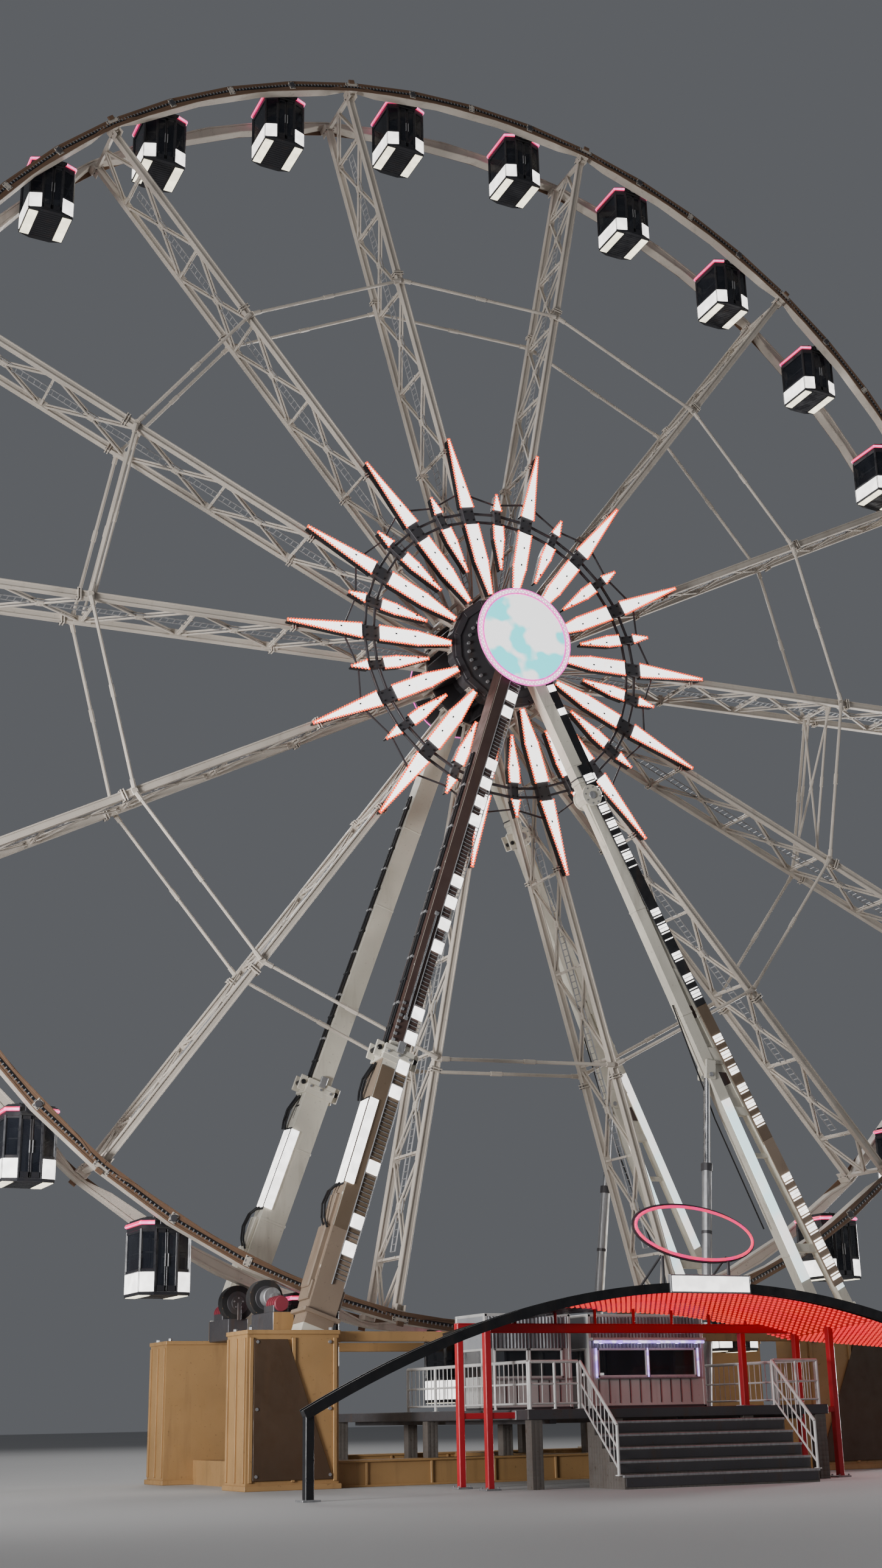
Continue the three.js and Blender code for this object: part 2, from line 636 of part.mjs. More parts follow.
function boothGeometry([x0, x1]) {
  const floor = DECK_TOP + SEAT_GAP;
  const top = DECK_TOP + BOOTH_HEIGHT;
  const [y0, y1] = BOOTH_Y;
  const wall = BOOTH_WALL;
  const body = block([x0, y0, floor], [x1, y1, top]);
  const room = block([x0 + wall, y0 + wall, floor + wall], [x1 - wall, y1 - wall, top - wall]);
  const sill = DECK_TOP + BOOTH_SILL;
  const head = DECK_TOP + BOOTH_WINDOW_TOP;
  const inset = BOOTH_WINDOW_INSET;
  const front = block([x0 + inset, y0 - wall, sill], [x1 - inset, y0 + 2 * wall, head]);
  const side = block([x0 - wall, y0 + inset, sill], [x1 + wall, y1 - inset, head]);
  const door = block(
    [x0 + BOOTH_DOOR[0], y1 - 2 * wall, floor + wall],
    [x0 + BOOTH_DOOR[1], y1 + wall, DECK_TOP + BOOTH_DOOR_TOP],
  );
  return toGeometry(body.subtract(room).subtract(front).subtract(side).subtract(door));
}

// Materials, one for each kind of finish
const FINISHES = {
  whitePaint: { color: 0xcfc8ba, roughness: 0.5, metalness: 0.1 },
  greyPaint: { color: 0xa8a39a, roughness: 0.55, metalness: 0.15 },
  legPaint: { color: 0xc9c3b4, roughness: 0.5, metalness: 0.1 },
  darkSteel: { color: 0x3a3a3d, roughness: 0.6, metalness: 0.4 },
  cabinShell: { color: 0x26262b, roughness: 0.35, metalness: 0.1 },
  lightPanel: { color: 0xf4f0ff, roughness: 0.4, metalness: 0 },
  basePaint: { color: 0xa58f6f, roughness: 0.7, metalness: 0.1 },
  deckPlate: { color: 0x6e6a64, roughness: 0.75, metalness: 0.2 },
  redRoof: { color: 0xa5202a, roughness: 0.45, metalness: 0.05 },
  boothPaint: { color: 0xdedbd4, roughness: 0.5, metalness: 0.05 },
};

const wheel = new THREE.Group();

function place(parent, name, geometry, finish) {
  const mesh = new THREE.Mesh(geometry, new THREE.MeshStandardMaterial(FINISHES[finish]));
  mesh.name = name;
  parent.add(mesh);
  return mesh;
}

function twoDigits(number) {
  return String(number).padStart(2, '0');
}

// Everything that turns is drawn about the hub's middle
const turning = new THREE.Group();
turning.position.z = HUB_HEIGHT;
wheel.add(turning);

const rimNear = RIM_CENTRE_Y - RIM_WIDTH / 2;
const rimFar = RIM_CENTRE_Y + RIM_WIDTH / 2;
place(turning, 'rim_front', rimGeometry(-rimFar, -rimNear), 'whitePaint');
place(turning, 'rim_back', rimGeometry(rimNear, rimFar), 'whitePaint');

const tieNear = CHORD_Y + CHORD_DEPTH / 2 + SEAT_GAP;
const tieFar = tieNear + TIE_THICKNESS;
place(turning, 'tie_rods_front', tieRingGeometry(-tieFar, -tieNear), 'greyPaint');
place(turning, 'tie_rods_back', tieRingGeometry(tieNear, tieFar), 'greyPaint');

const spoke = spokeGeometry();
for (let index = 0; index < SPOKE_COUNT; index += 1) {
  const mesh = place(turning, `spoke_${twoDigits(index + 1)}`, spoke, 'greyPaint');
  mesh.rotation.y = spokeAngle(index);
}

place(turning, 'hub', hubGeometry(), 'darkSteel');
place(turning, 'star', starGeometry(), 'lightPanel');

// Cabins hang level, spaced evenly round the wheel and clear of the spokes
const cabin = cabinGeometry();
const cabinCount = SPOKE_COUNT * CABINS_PER_BAY;
for (let index = 0; index < cabinCount; index += 1) {
  const angle = spokeAngle((index + 0.5) / CABINS_PER_BAY);
  const [x, z] = onWheel(WHEEL_RADIUS, angle);
  const mesh = place(turning, `cabin_${twoDigits(index + 1)}`, cabin, 'cabinShell');
  mesh.position.set(x, 0, z);
}

// What stands still
const axle = place(wheel, 'axle', axleGeometry(), 'darkSteel');
axle.position.z = HUB_HEIGHT;
for (const [name, side] of [['hub_disc_front', -1], ['hub_disc_back', 1]]) {
  const disc = place(wheel, name, discGeometry(side), 'lightPanel');
  disc.position.z = HUB_HEIGHT;
}
for (const [name, side] of [['front', -1], ['back', 1]]) {
  place(wheel, `leg_${name}_left`, telescopicLeg(-1, side), 'legPaint');
  place(wheel, `leg_${name}_right`, foldingLeg(1, side), 'legPaint');
}
place(wheel, 'base_frame', baseGeometry(), 'basePaint');
place(wheel, 'platform', platformGeometry(), 'deckPlate');
place(wheel, 'canopy', canopyGeometry(), 'redRoof');
place(wheel, 'booth', boothGeometry(BOOTH_X), 'boothPaint');
place(wheel, 'ticket_booth', boothGeometry(TICKET_BOOTH_X), 'boothPaint');

export default wheel;
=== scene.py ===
import json
import math

import bmesh
import bpy
from bpy.props import FloatProperty, FloatVectorProperty, IntProperty, PointerProperty
from mathutils import Matrix, Vector

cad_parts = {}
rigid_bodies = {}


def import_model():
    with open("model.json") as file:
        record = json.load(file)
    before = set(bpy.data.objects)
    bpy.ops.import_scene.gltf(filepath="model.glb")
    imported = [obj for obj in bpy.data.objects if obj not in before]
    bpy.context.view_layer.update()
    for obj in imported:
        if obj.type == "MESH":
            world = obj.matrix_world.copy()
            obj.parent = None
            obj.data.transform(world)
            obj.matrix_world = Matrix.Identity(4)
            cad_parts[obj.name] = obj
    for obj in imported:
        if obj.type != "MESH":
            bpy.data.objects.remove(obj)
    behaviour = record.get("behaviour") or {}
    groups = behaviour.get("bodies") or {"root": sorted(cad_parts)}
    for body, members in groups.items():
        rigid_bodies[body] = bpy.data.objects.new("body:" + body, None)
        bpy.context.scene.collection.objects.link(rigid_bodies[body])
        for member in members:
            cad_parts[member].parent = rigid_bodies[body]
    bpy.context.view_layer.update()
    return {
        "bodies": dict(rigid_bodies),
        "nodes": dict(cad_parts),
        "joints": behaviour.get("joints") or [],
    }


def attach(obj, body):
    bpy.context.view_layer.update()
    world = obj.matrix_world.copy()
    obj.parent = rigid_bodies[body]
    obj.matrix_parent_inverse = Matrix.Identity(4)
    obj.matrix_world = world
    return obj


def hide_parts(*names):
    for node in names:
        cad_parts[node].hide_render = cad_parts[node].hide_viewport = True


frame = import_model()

bl_info = {
    "name": "Observation Wheel",
    "version": (1, 0, 0),
    "blender": (4, 5, 0),
    "location": "View3D > Sidebar > Wheel",
    "description": "Builds the finished look of an observation wheel around its solids",
    "category": "Object",
}

JOINTS = {joint["name"]: joint for joint in frame["joints"]}
HUB = Vector(JOINTS["wheel_spin"]["pos_m"])
CABINS = [name for name in sorted(frame["bodies"]) if name.startswith("cabin_")]
PIVOTS = {name: Vector(JOINTS[name + "_level"]["pos_m"]) for name in CABINS}
SPOKES = 14
STEP = 2 * math.pi / SPOKES
FIRST_PIVOT = PIVOTS[CABINS[0]] - HUB
FIRST_SPOKE = math.atan2(FIRST_PIVOT.x, FIRST_PIVOT.z) - STEP / 4
Y_AXIS = Vector((0, 1, 0))
GROUND = "ground_frame"
WHEEL = "wheel"


# Sizes and colours a user may change

def length(name, description, default):
    return FloatProperty(name=name, description=description, default=default, min=0.001, unit="LENGTH")


def colour(name, description, default):
    return FloatVectorProperty(name=name, description=description, default=default,
                               size=3, min=0.0, max=1.0, subtype="COLOR")


class WheelSizes(bpy.types.PropertyGroup):
    """Sizes of the fine parts, in metres."""

    brace_thickness: length("Brace", "Thickness of the spokes' crossed braces", 0.032)
    rung_pitch: length("Rung pitch", "Distance between the rungs of a spoke's ladder", 0.10)
    tie_radius: length("Tie rod", "Radius of a tie rod", 0.026)
    tick_pitch: length("Tick pitch", "Distance between the ticks of a rim's drive band", 0.06)
    bead_pitch: length("Bead pitch", "Distance between the beads along a ray of the star", 0.044)
    bead_radius: length("Bead", "Radius of a bead of the star", 0.020)
    tube_radius: length("Roof tube", "Radius of the light tube on a cabin's roof", 0.024)
    leg_lamp: length("Leg lamp", "Side of a lamp on the left leg", 0.165)
    dot_columns: IntProperty(name="Dot columns", description="Columns of lamps under the canopy",
                             default=70, min=10, max=120)
    dot_rows: IntProperty(name="Dot rows", description="Rows of lamps under the canopy",
                          default=16, min=4, max=24)


class WheelColours(bpy.types.PropertyGroup):
    """Main colours of the finishes."""

    cream: colour("Cream paint", "Paint of the spokes and rims", (0.56, 0.50, 0.43))
    ivory: colour("Ivory paint", "Paint of the legs", (0.70, 0.66, 0.56))
    ochre: colour("Ochre paint", "Paint of the base", (0.42, 0.245, 0.10))
    anthracite: colour("Anthracite", "Shell of the cabins", (0.022, 0.022, 0.026))
    red: colour("Red", "Posts, beam and underside of the canopy", (0.56, 0.018, 0.03))
    lamp_white: colour("White lamps", "White lit panels", (1.0, 0.97, 0.94))
    lamp_warm: colour("Warm lamps", "Lit strips under the cabins", (1.0, 0.93, 0.70))
    lamp_pink: colour("Pink tubes", "Tubes on the cabins' roofs", (1.0, 0.16, 0.50))
    lamp_orange: colour("Orange beads", "Beads along the star's rays", (1.0, 0.045, 0.012))
    lamp_violet: colour("Violet lamps", "Line of light over the ticket window", (0.40, 0.24, 1.0))
    lamp_cyan: colour("Cyan", "Patches of the lit discs", (0.12, 0.84, 0.90))


# Finishes made of nodes

def new_material(name, roughness, metallic):
    material = bpy.data.materials.new(name)
    material.use_nodes = True
    shader = material.node_tree.nodes["Principled BSDF"]
    shader.inputs["Roughness"].default_value = roughness
    shader.inputs["Metallic"].default_value = metallic
    return material, shader


def grain(material, scale, detail=3.0, stretch=(1, 1, 1)):
    """A noise on the object's own coordinates."""
    tree = material.node_tree
    place = tree.nodes.new("ShaderNodeTexCoord")
    mapping = tree.nodes.new("ShaderNodeMapping")
    mapping.inputs["Scale"].default_value = stretch
    noise = tree.nodes.new("ShaderNodeTexNoise")
    noise.inputs["Scale"].default_value = scale
    noise.inputs["Detail"].default_value = detail
    tree.links.new(place.outputs["Object"], mapping.inputs["Vector"])
    tree.links.new(mapping.outputs["Vector"], noise.inputs["Vector"])
    return noise.outputs["Fac"]


def mask(material, source, low, high, strength=1.0):
    """Spreads the part of a pattern from low to high over nought to strength."""
    spread = material.node_tree.nodes.new("ShaderNodeMapRange")
    spread.inputs["From Min"].default_value = low
    spread.inputs["From Max"].default_value = high
    spread.inputs["To Max"].default_value = strength
    material.node_tree.links.new(source, spread.inputs["Value"])
    return spread.outputs["Result"]


def mix(material, factor, first, second):
    """Mixes two colours, each a value or another node's output."""
    tree = material.node_tree
    node = tree.nodes.new("ShaderNodeMix")
    node.data_type = "RGBA"
    tree.links.new(factor, node.inputs["Factor"])
    for socket, value in (("A", first), ("B", second)):
        target = [entry for entry in node.inputs if entry.name == socket and entry.type == "RGBA"][0]
        if isinstance(value, bpy.types.NodeSocket):
            tree.links.new(value, target)
        else:
            target.default_value = (*value, 1.0)
    return [entry for entry in node.outputs if entry.type == "RGBA"][0]


def darker(shade, share):
    return tuple(channel * share for channel in shade)


def relief(material, source, distance, strength=1.0):
    """A bump that raises the surface by a pattern."""
    tree = material.node_tree
    bump = tree.nodes.new("ShaderNodeBump")
    bump.inputs["Strength"].default_value = strength
    bump.inputs["Distance"].default_value = distance
    tree.links.new(source, bump.inputs["Height"])
    tree.links.new(bump.outputs["Normal"], tree.nodes["Principled BSDF"].inputs["Normal"])


def rough_and_bumpy(material, shader, roughness, fine, depth):
    """Uneven gloss and a fine relief, as on sprayed or rolled metal."""
    tree = material.node_tree
    gloss = mask(material, grain(material, 7.0), 0.3, 0.7)
    spread = tree.nodes.new("ShaderNodeMapRange")
    spread.inputs["To Min"].default_value = max(roughness - 0.12, 0.04)
    spread.inputs["To Max"].default_value = min(roughness + 0.14, 1.0)
    tree.links.new(gloss, spread.inputs["Value"])
    tree.links.new(spread.outputs["Result"], shader.inputs["Roughness"])
    relief(material, grain(material, fine), depth, 0.35)


def paint(name, shade, roughness=0.5, metallic=0.05, dirt=0.55, fine=60.0):
    """Weathered paint: cloudy tone, run-down streaks, chips and a fine orange-peel relief."""
    stain = (0.10, 0.055, 0.03)
    material, shader = new_material(name, roughness, metallic)
    cloud = mask(material, grain(material, 1.1), 0.35, 0.68)
    tone = mix(material, cloud, darker(shade, 0.80), shade)
    streaks = mask(material, grain(material, 5.0, 4.0, (1.5, 1.5, 0.16)), 0.56, 0.80, dirt)
    tone = mix(material, streaks, tone, stain)
    chips = mask(material, grain(material, 26.0, 5.0), 0.66, 0.70, dirt)
    tone = mix(material, chips, tone, darker(stain, 0.7))
    material.node_tree.links.new(tone, shader.inputs["Base Color"])
    rough_and_bumpy(material, shader, roughness, fine, 0.0006)
    return material


def metal(name, shade, roughness, metallic):
    """Bare or plated steel with a brushed, slightly stained surface."""
    material, shader = new_material(name, roughness, metallic)
    brushed = mask(material, grain(material, 34.0, 2.0, (1, 1, 0.08)), 0.3, 0.7)
    tone = mix(material, brushed, darker(shade, 0.7), shade)
    spots = mask(material, grain(material, 9.0, 5.0), 0.62, 0.75, 0.6)
    tone = mix(material, spots, tone, darker(shade, 0.35))
    material.node_tree.links.new(tone, shader.inputs["Base Color"])
    rough_and_bumpy(material, shader, roughness, 90.0, 0.001)
    return material


def lamp(name, shade, strength, second=None, spread=(0.42, 0.60), scale=6.0):
    """A lit surface whose diffuser is a little uneven, or has patches of a second colour."""
    material, shader = new_material(name, 0.35, 0.0)
    patches = mask(material, grain(material, scale, 2.0), *spread)
    tone = mix(material, patches, second or darker(shade, 0.80), shade)
    links = material.node_tree.links
    links.new(tone, shader.inputs["Emission Color"])
    links.new(tone, shader.inputs["Base Color"])
    shader.inputs["Emission Strength"].default_value = strength
    material.cycles.emission_sampling = "NONE"
    return material


def tinted_glass(name):
    """Dark cabin glass with faint smears in its gloss."""
    material, shader = new_material(name, 0.08, 0.0)
    smears = mask(material, grain(material, 3.0, 3.0, (1, 1, 0.4)), 0.45, 0.8)
    tone = mix(material, smears, (0.012, 0.014, 0.02), (0.035, 0.038, 0.05))
    material.node_tree.links.new(tone, shader.inputs["Base Color"])
    gloss = mask(material, grain(material, 11.0), 0.3, 0.9, 0.22)
    material.node_tree.links.new(gloss, shader.inputs["Roughness"])
    shader.inputs["Alpha"].default_value = 0.55
    return material


def pattern(material, kind, **values):
    """A texture node on the object's own coordinates."""
    tree = material.node_tree
    place = tree.nodes.new("ShaderNodeTexCoord")
    node = tree.nodes.new(kind)
    for name, value in values.items():
        node.inputs[name].default_value = value
    tree.links.new(place.outputs["Object"], node.inputs["Vector"])
    return node


def corrugated(name, shade):
    """Painted sheet with upright folds."""
    material = paint(name, shade, dirt=0.3)
    wave = pattern(material, "ShaderNodeTexWave", Scale=7.0)
    wave.bands_direction = "X"
    relief(material, wave.outputs["Fac"], 0.02)
    return material


def chequer(name, shade):
    """Worn tread plate with raised lozenges."""
    material = paint(name, shade, roughness=0.6, metallic=0.4, dirt=0.5)
    cells = pattern(material, "ShaderNodeTexVoronoi", Scale=18.0, Randomness=0.0)
    relief(material, cells.outputs["Distance"], -0.008)
    return material


FINISHES = {}


def make_finishes(colours):
    """Every finish of the wheel, by a plain name."""
    FINISHES.update({
        "cream": paint("cream_paint", colours.cream, dirt=0.22),
        "rim": paint("rim_paint", colours.cream, dirt=0.35),
        # Dark brown of the rims' outer faces: partly the drive band's own colour and partly painted shade.
        "bronze_and_painted_shade": paint("rim_band_with_shade", (0.170, 0.098, 0.060), roughness=0.55, dirt=0.35),
        "ivory": paint("ivory_paint", colours.ivory, dirt=0.30),
        "ochre": paint("ochre_paint", colours.ochre, roughness=0.6, dirt=0.4),
        # Painted shadow: the dark brown of the sheet over the pedestals' front faces.
        "brown": paint("pedestal_painted_shadow", (0.075, 0.042, 0.022), roughness=0.6, dirt=0.6),
        "tan": paint("tan_cover", (0.27, 0.20, 0.145), roughness=0.5, dirt=0.35),
        "dull_red": paint("motor_red", (0.26, 0.035, 0.055), roughness=0.5, dirt=0.5),
        "tray": paint("tray_brown", (0.150, 0.105, 0.068), roughness=0.55, dirt=0.4),
        "umber": paint("umber_tray", (0.070, 0.040, 0.034), roughness=0.5, dirt=0.35),
        "grey": paint("grey_steel", (0.075, 0.072, 0.078), roughness=0.5, metallic=0.3),
        "galvanised": metal("galvanised_steel", (0.42, 0.42, 0.43), 0.5, 0.7),
        "chrome": metal("chrome_rod", (0.72, 0.72, 0.74), 0.18, 1.0),
        "black": paint("black_paint", (0.012, 0.012, 0.014), roughness=0.35, dirt=0.2),
        "rubber": paint("rubber", (0.018, 0.018, 0.019), roughness=0.85, dirt=0.3),
        "shell": paint("cabin_shell", colours.anthracite, roughness=0.32, dirt=0.15),
        "lining": paint("cabin_lining", (0.16, 0.15, 0.15), roughness=0.7, dirt=0.2),
        "seat": paint("seat_vinyl", (0.055, 0.018, 0.022), roughness=0.55, dirt=0.15, fine=140.0),
        "glass": tinted_glass("cabin_glass"),
        "red": paint("red_paint", colours.red, roughness=0.4, dirt=0.25),
        "white": paint("white_panel", (0.62, 0.61, 0.59), roughness=0.45, dirt=0.3),
        "sheet": corrugated("corrugated_sheet", (0.33, 0.34, 0.36)),
        "tread": chequer("tread_plate", (0.17, 0.15, 0.135)),
        "lamp": lamp("white_lamp", colours.lamp_white, 2.6),
        "lamp_warm": lamp("warm_lamp", colours.lamp_warm, 2.2),
        "lamp_pink": lamp("pink_tube", colours.lamp_pink, 1.6, (1.0, 0.34, 0.62), scale=14.0),
        "lamp_crimson": lamp("crimson_sleeve", (0.95, 0.012, 0.20), 1.2, (1.0, 0.03, 0.12), scale=10.0),
        # Painted light: a white glow with cyan patches that stands in for the floodlight falling on the leg
        # prongs' faces, which hold no lamp.
        "painted_floodlight": lamp("painted_floodlit_face", (1.0, 0.97, 0.94), 1.3, (0.72, 0.96, 1.0), (0.40, 0.60), 1.6),
        "lamp_star": lamp("star_lamp", (1.0, 0.98, 0.96), 2.6, (1.0, 0.90, 0.80), (0.22, 0.40), 9.0),
        "bead": lamp("orange_bead", colours.lamp_orange, 1.5, (1.0, 0.14, 0.02), scale=30.0),
        "lamp_disc": lamp("disc_lamp", (1.0, 1.0, 1.0), 1.35, colours.lamp_cyan, (0.42, 0.49), 2.1),
        "lamp_magenta": lamp("magenta_tube", (0.90, 0.03, 0.52), 1.4, (1.0, 0.10, 0.62), scale=20.0),
        "lamp_rose": lamp("rose_ring", (1.0, 0.50, 0.80), 1.2, (1.0, 0.72, 0.92), scale=12.0),
        "lamp_violet": lamp("violet_lamp", colours.lamp_violet, 1.9, (0.75, 0.68, 1.0), scale=16.0),
        "lamp_red": lamp("red_dot", (1.0, 0.020, 0.055), 0.95, (1.0, 0.07, 0.05), (0.38, 0.62), 1.4),
        "lamp_underside": lamp("red_underside", (0.75, 0.004, 0.012), 0.32, (0.55, 0.002, 0.008),
                               (0.35, 0.65), 1.1),
    })


# Work on one mesh in edit mode

def begin(name, *finishes):
    """An empty mesh in edit mode, with the finishes that its parts will use."""
    if bpy.context.mode != "OBJECT":
        bpy.ops.object.mode_set(mode="OBJECT")
    bpy.ops.object.select_all(action="DESELECT")
    bpy.ops.object.add(type="MESH", enter_editmode=True, location=(0, 0, 0))
    piece = bpy.context.object
    piece.name = name
    piece.data.name = name
    for key in finishes:
        piece.data.materials.append(FINISHES[key])
    return piece


def dress(finish, bevel=0.0):
    """Gives the part just added its finish and softens its edges."""
    bpy.context.object.active_material_index = finish
    bpy.ops.object.material_slot_assign()
    if bevel:
        bpy.ops.mesh.bevel(offset=bevel, segments=1, affect="EDGES")


def block(size, middle, finish=0, bevel=0.0, turn=(0, 0, 0)):
    """A box of that size about its middle."""
    bpy.ops.mesh.primitive_cube_add(size=1, calc_uvs=False, location=middle, rotation=turn, scale=size)
    dress(finish, bevel)


def corners(low, high, finish=0, bevel=0.0):
    """A box from its low to its high corner."""
    size = [b - a for a, b in zip(low, high)]
    block(size, [(a + b) / 2 for a, b in zip(low, high)], finish, bevel)


def line_matrix(start, end):
    """A frame with its Z from start to end and its X in the wheel's plane."""
    start, end = Vector(start), Vector(end)
    along = (end - start).normalized()
    across = Y_AXIS.cross(along)
    across = across.normalized() if across.length > 0.01 else Vector((1, 0, 0))
    matrix = Matrix((across, along.cross(across), along)).transposed().to_4x4()
    matrix.translation = start
    return matrix


def bar(start, end, width, depth, finish=0, bevel=0.0):
    """A straight bar between two points; its width lies in the wheel's plane."""
    turn = line_matrix(start, end).to_euler()
    reach = (Vector(end) - Vector(start)).length
    block((width, depth, reach), (Vector(start) + Vector(end)) / 2, finish, bevel, turn)


def rod(start, end, radius, finish=0, sides=8, bevel=0.0):
    """A round rod between two points."""
    reach = (Vector(end) - Vector(start)).length
    bpy.ops.mesh.primitive_cylinder_add(
        vertices=sides, radius=radius, depth=reach, calc_uvs=False,
        location=(Vector(start) + Vector(end)) / 2, rotation=line_matrix(start, end).to_euler())
    dress(finish, bevel)


def stud(spot, way, radius, finish=0, sides=6, bevel=0.0):
    """A short round rod from a spot, as far as way."""
    rod(spot, Vector(spot) + Vector(way), radius, finish, sides, bevel)


def through(middle, half, radius, finish, sides, bevel=0.0):
    """A round rod across the wheel's plane; half is its reach on each side."""
    reach = Y_AXIS * half
    rod(middle - reach, middle + reach, radius, finish, sides, bevel)


def chain(points, radius, finish, sides=8):
    """Round rods from point to point."""
    for first, second in zip(points, points[1:]):
        rod(first, second, radius, finish, sides)


def bead(middle, radius, finish):
    bpy.ops.mesh.primitive_ico_sphere_add(subdivisions=1, radius=radius, calc_uvs=False, location=middle)
    dress(finish)


def pinch(direction, factor, centre):
    """Scales the end of the part just added that looks along direction."""
    mesh = bpy.context.edit_object.data
    shape = bmesh.from_edit_mesh(mesh)
    ends = [face for face in shape.faces if face.select and face.normal.dot(Vector(direction)) > 0.7]
    bpy.ops.mesh.select_all(action="DESELECT")
    for face in ends:
        face.select_set(True)
    bmesh.update_edit_mesh(mesh)
    bpy.ops.transform.resize(value=factor, center_override=centre)


def settle(piece, smooth=0.0):
    """Ends the work on a mesh; smooth is the angle below which its edges shade softly."""
    if bpy.context.mode != "OBJECT":
        bpy.ops.object.mode_set(mode="OBJECT")
    if smooth:
        bpy.ops.object.select_all(action="DESELECT")
        piece.select_set(True)
        bpy.context.view_layer.objects.active = piece
        bpy.ops.object.shade_smooth_by_angle(angle=math.radians(smooth))
    return piece


def hang_up(piece, body, slot, *nodes):
    """Ties a finished piece to its body and hides the solids it stands for; its slot is not used."""
    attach(piece, body)
    if nodes:
        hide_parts(*nodes)


def twin(source, name, matrix):
    """A copy with its own mesh, put in place."""
    copy = source.copy()
    copy.data = source.data.copy()
    copy.name = name
    copy.data.name = name
    bpy.context.scene.collection.objects.link(copy)
    copy.data.transform(matrix)
    return copy


def join(pieces, name):
    bpy.ops.object.select_all(action="DESELECT")
    for piece in pieces:
        piece.select_set(True)
    bpy.context.view_layer.objects.active = pieces[0]
    bpy.ops.object.join()
    whole = bpy.context.object
    whole.name = name
    whole.data.name = name
    return whole


def about_hub(angle):
    """Moves what was drawn upright from the origin to its angle on the wheel."""
    return Matrix.Translation(HUB) @ Matrix.Rotation(angle, 4, "Y")


def all_round(source, name, count=SPOKES, first=FIRST_SPOKE):
    """Copies a mesh drawn upright to count places round the hub and joins them."""
    copies = [twin(source, name, about_hub(first + index * 2 * math.pi / count)) for index in range(count)]
    bpy.data.objects.remove(source)
    return join(copies, name)


def on_wheel(radius, angle, y=0.0, sideways=0.0):
    """A point about the origin, its angle turned from straight up towards +X."""
    x = radius * math.sin(angle) + sideways * math.cos(angle)
    z = radius * math.cos(angle) - sideways * math.sin(angle)
    return Vector((x, y, z))


def refinish(node, finish):
    """Gives a kept solid its finish."""
    frame["nodes"][node].material_slots[0].material = FINISHES[finish]


# Operators, one for each piece or group of like pieces

class WheelStep(bpy.types.Operator):
    """Shared by the steps: reads the sizes and runs the making."""

    bl_options = {"REGISTER"}

    def execute(self, context):
        self.make(context.scene.wheel_sizes)
        return {"FINISHED"}


class WHEEL_OT_stage(WheelStep):
    """Makes the finishes, the camera, the soft lights and the pale floor"""

    bl_idname = "wheel.stage"
    bl_label = "Stage"

    camera_place = (-12.274, -23.113, 0.80)
    camera_angles = (26.28, 19.17, -1.12)
    camera_lens = 41.66
    aim = (0, 0, 9)
    lights = (
        ("key", (-24, -16, 24), 16, 1500, 180),
        ("fill", (26, -16, 12), 18, 900, 180),
        ("rim", (2, 24, 26), 16, 3600, 180),
        ("low_left", (-19, -8, 3.0), 5, 1400, 90),
        ("low_right", (20, 7, 3.0), 5, 1400, 90),
    )

    def make(self, sizes):
        make_finishes(bpy.context.scene.wheel_colours)
        self.camera()
        self.world()
        for light in self.lights:
            self.soft_light(*light)
        self.floor()

    def camera(self):
        """The camera where the photograph was taken, by its yaw, pitch and roll."""
        scene = bpy.context.scene
        data = bpy.data.cameras.new("camera")
        data.lens = self.camera_lens
        data.sensor_width = 36.0
        data.clip_end = 500.0
        camera = bpy.data.objects.new("camera", data)
        scene.collection.objects.link(camera)
        scene.camera = camera
        yaw, pitch, roll = (math.radians(angle) for angle in self.camera_angles)
        right = Vector((math.cos(yaw), -math.sin(yaw), 0))
        ahead = Vector((math.sin(yaw) * math.cos(pitch), math.cos(yaw) * math.cos(pitch), math.sin(pitch)))
        up = right.cross(ahead)
        side = right * math.cos(roll) + up * math.sin(roll)
        top = up * math.cos(roll) - right * math.sin(roll)
        matrix = Matrix((side, top, -ahead)).transposed().to_4x4()
        matrix.translation = self.camera_place
        camera.matrix_world = matrix

    def world(self):
        """A dim grey surround."""
        world = bpy.data.worlds.new("studio")
        bpy.context.scene.world = world
        world.use_nodes = True
        background = world.node_tree.nodes["Background"]
        background.inputs["Color"].default_value = (0.115, 0.12, 0.13, 1.0)
        background.inputs["Strength"].default_value = 1.0

    def floor(self):
        """A pale floor, which isn't part of the wheel."""
        bpy.ops.object.select_all(action="DESELECT")
        bpy.ops.mesh.primitive_plane_add(size=240, location=(0, 0, 0))
        floor = bpy.context.object
        floor.name = "floor"
        surface, shader = new_material("studio_floor", 0.8, 0.0)
        tone = mix(surface, grain(surface, 0.15), (0.46, 0.455, 0.45), (0.50, 0.495, 0.49))
        surface.node_tree.links.new(tone, shader.inputs["Base Color"])
        floor.data.materials.append(surface)

    def soft_light(self, name, place, size, power, spread):
        """A round lamp aimed at the wheel; spread is the angle of its cone of light."""
        data = bpy.data.lights.new(name, "AREA")
        data.shape = "DISK"
        data.size = size
        data.energy = power
        data.spread = math.radians(spread)
        light = bpy.data.objects.new(name, data)
        light.location = place
        light.rotation_euler = (Vector(self.aim) - Vector(place)).to_track_quat("-Z", "Y").to_euler()
        bpy.context.scene.collection.objects.link(light)


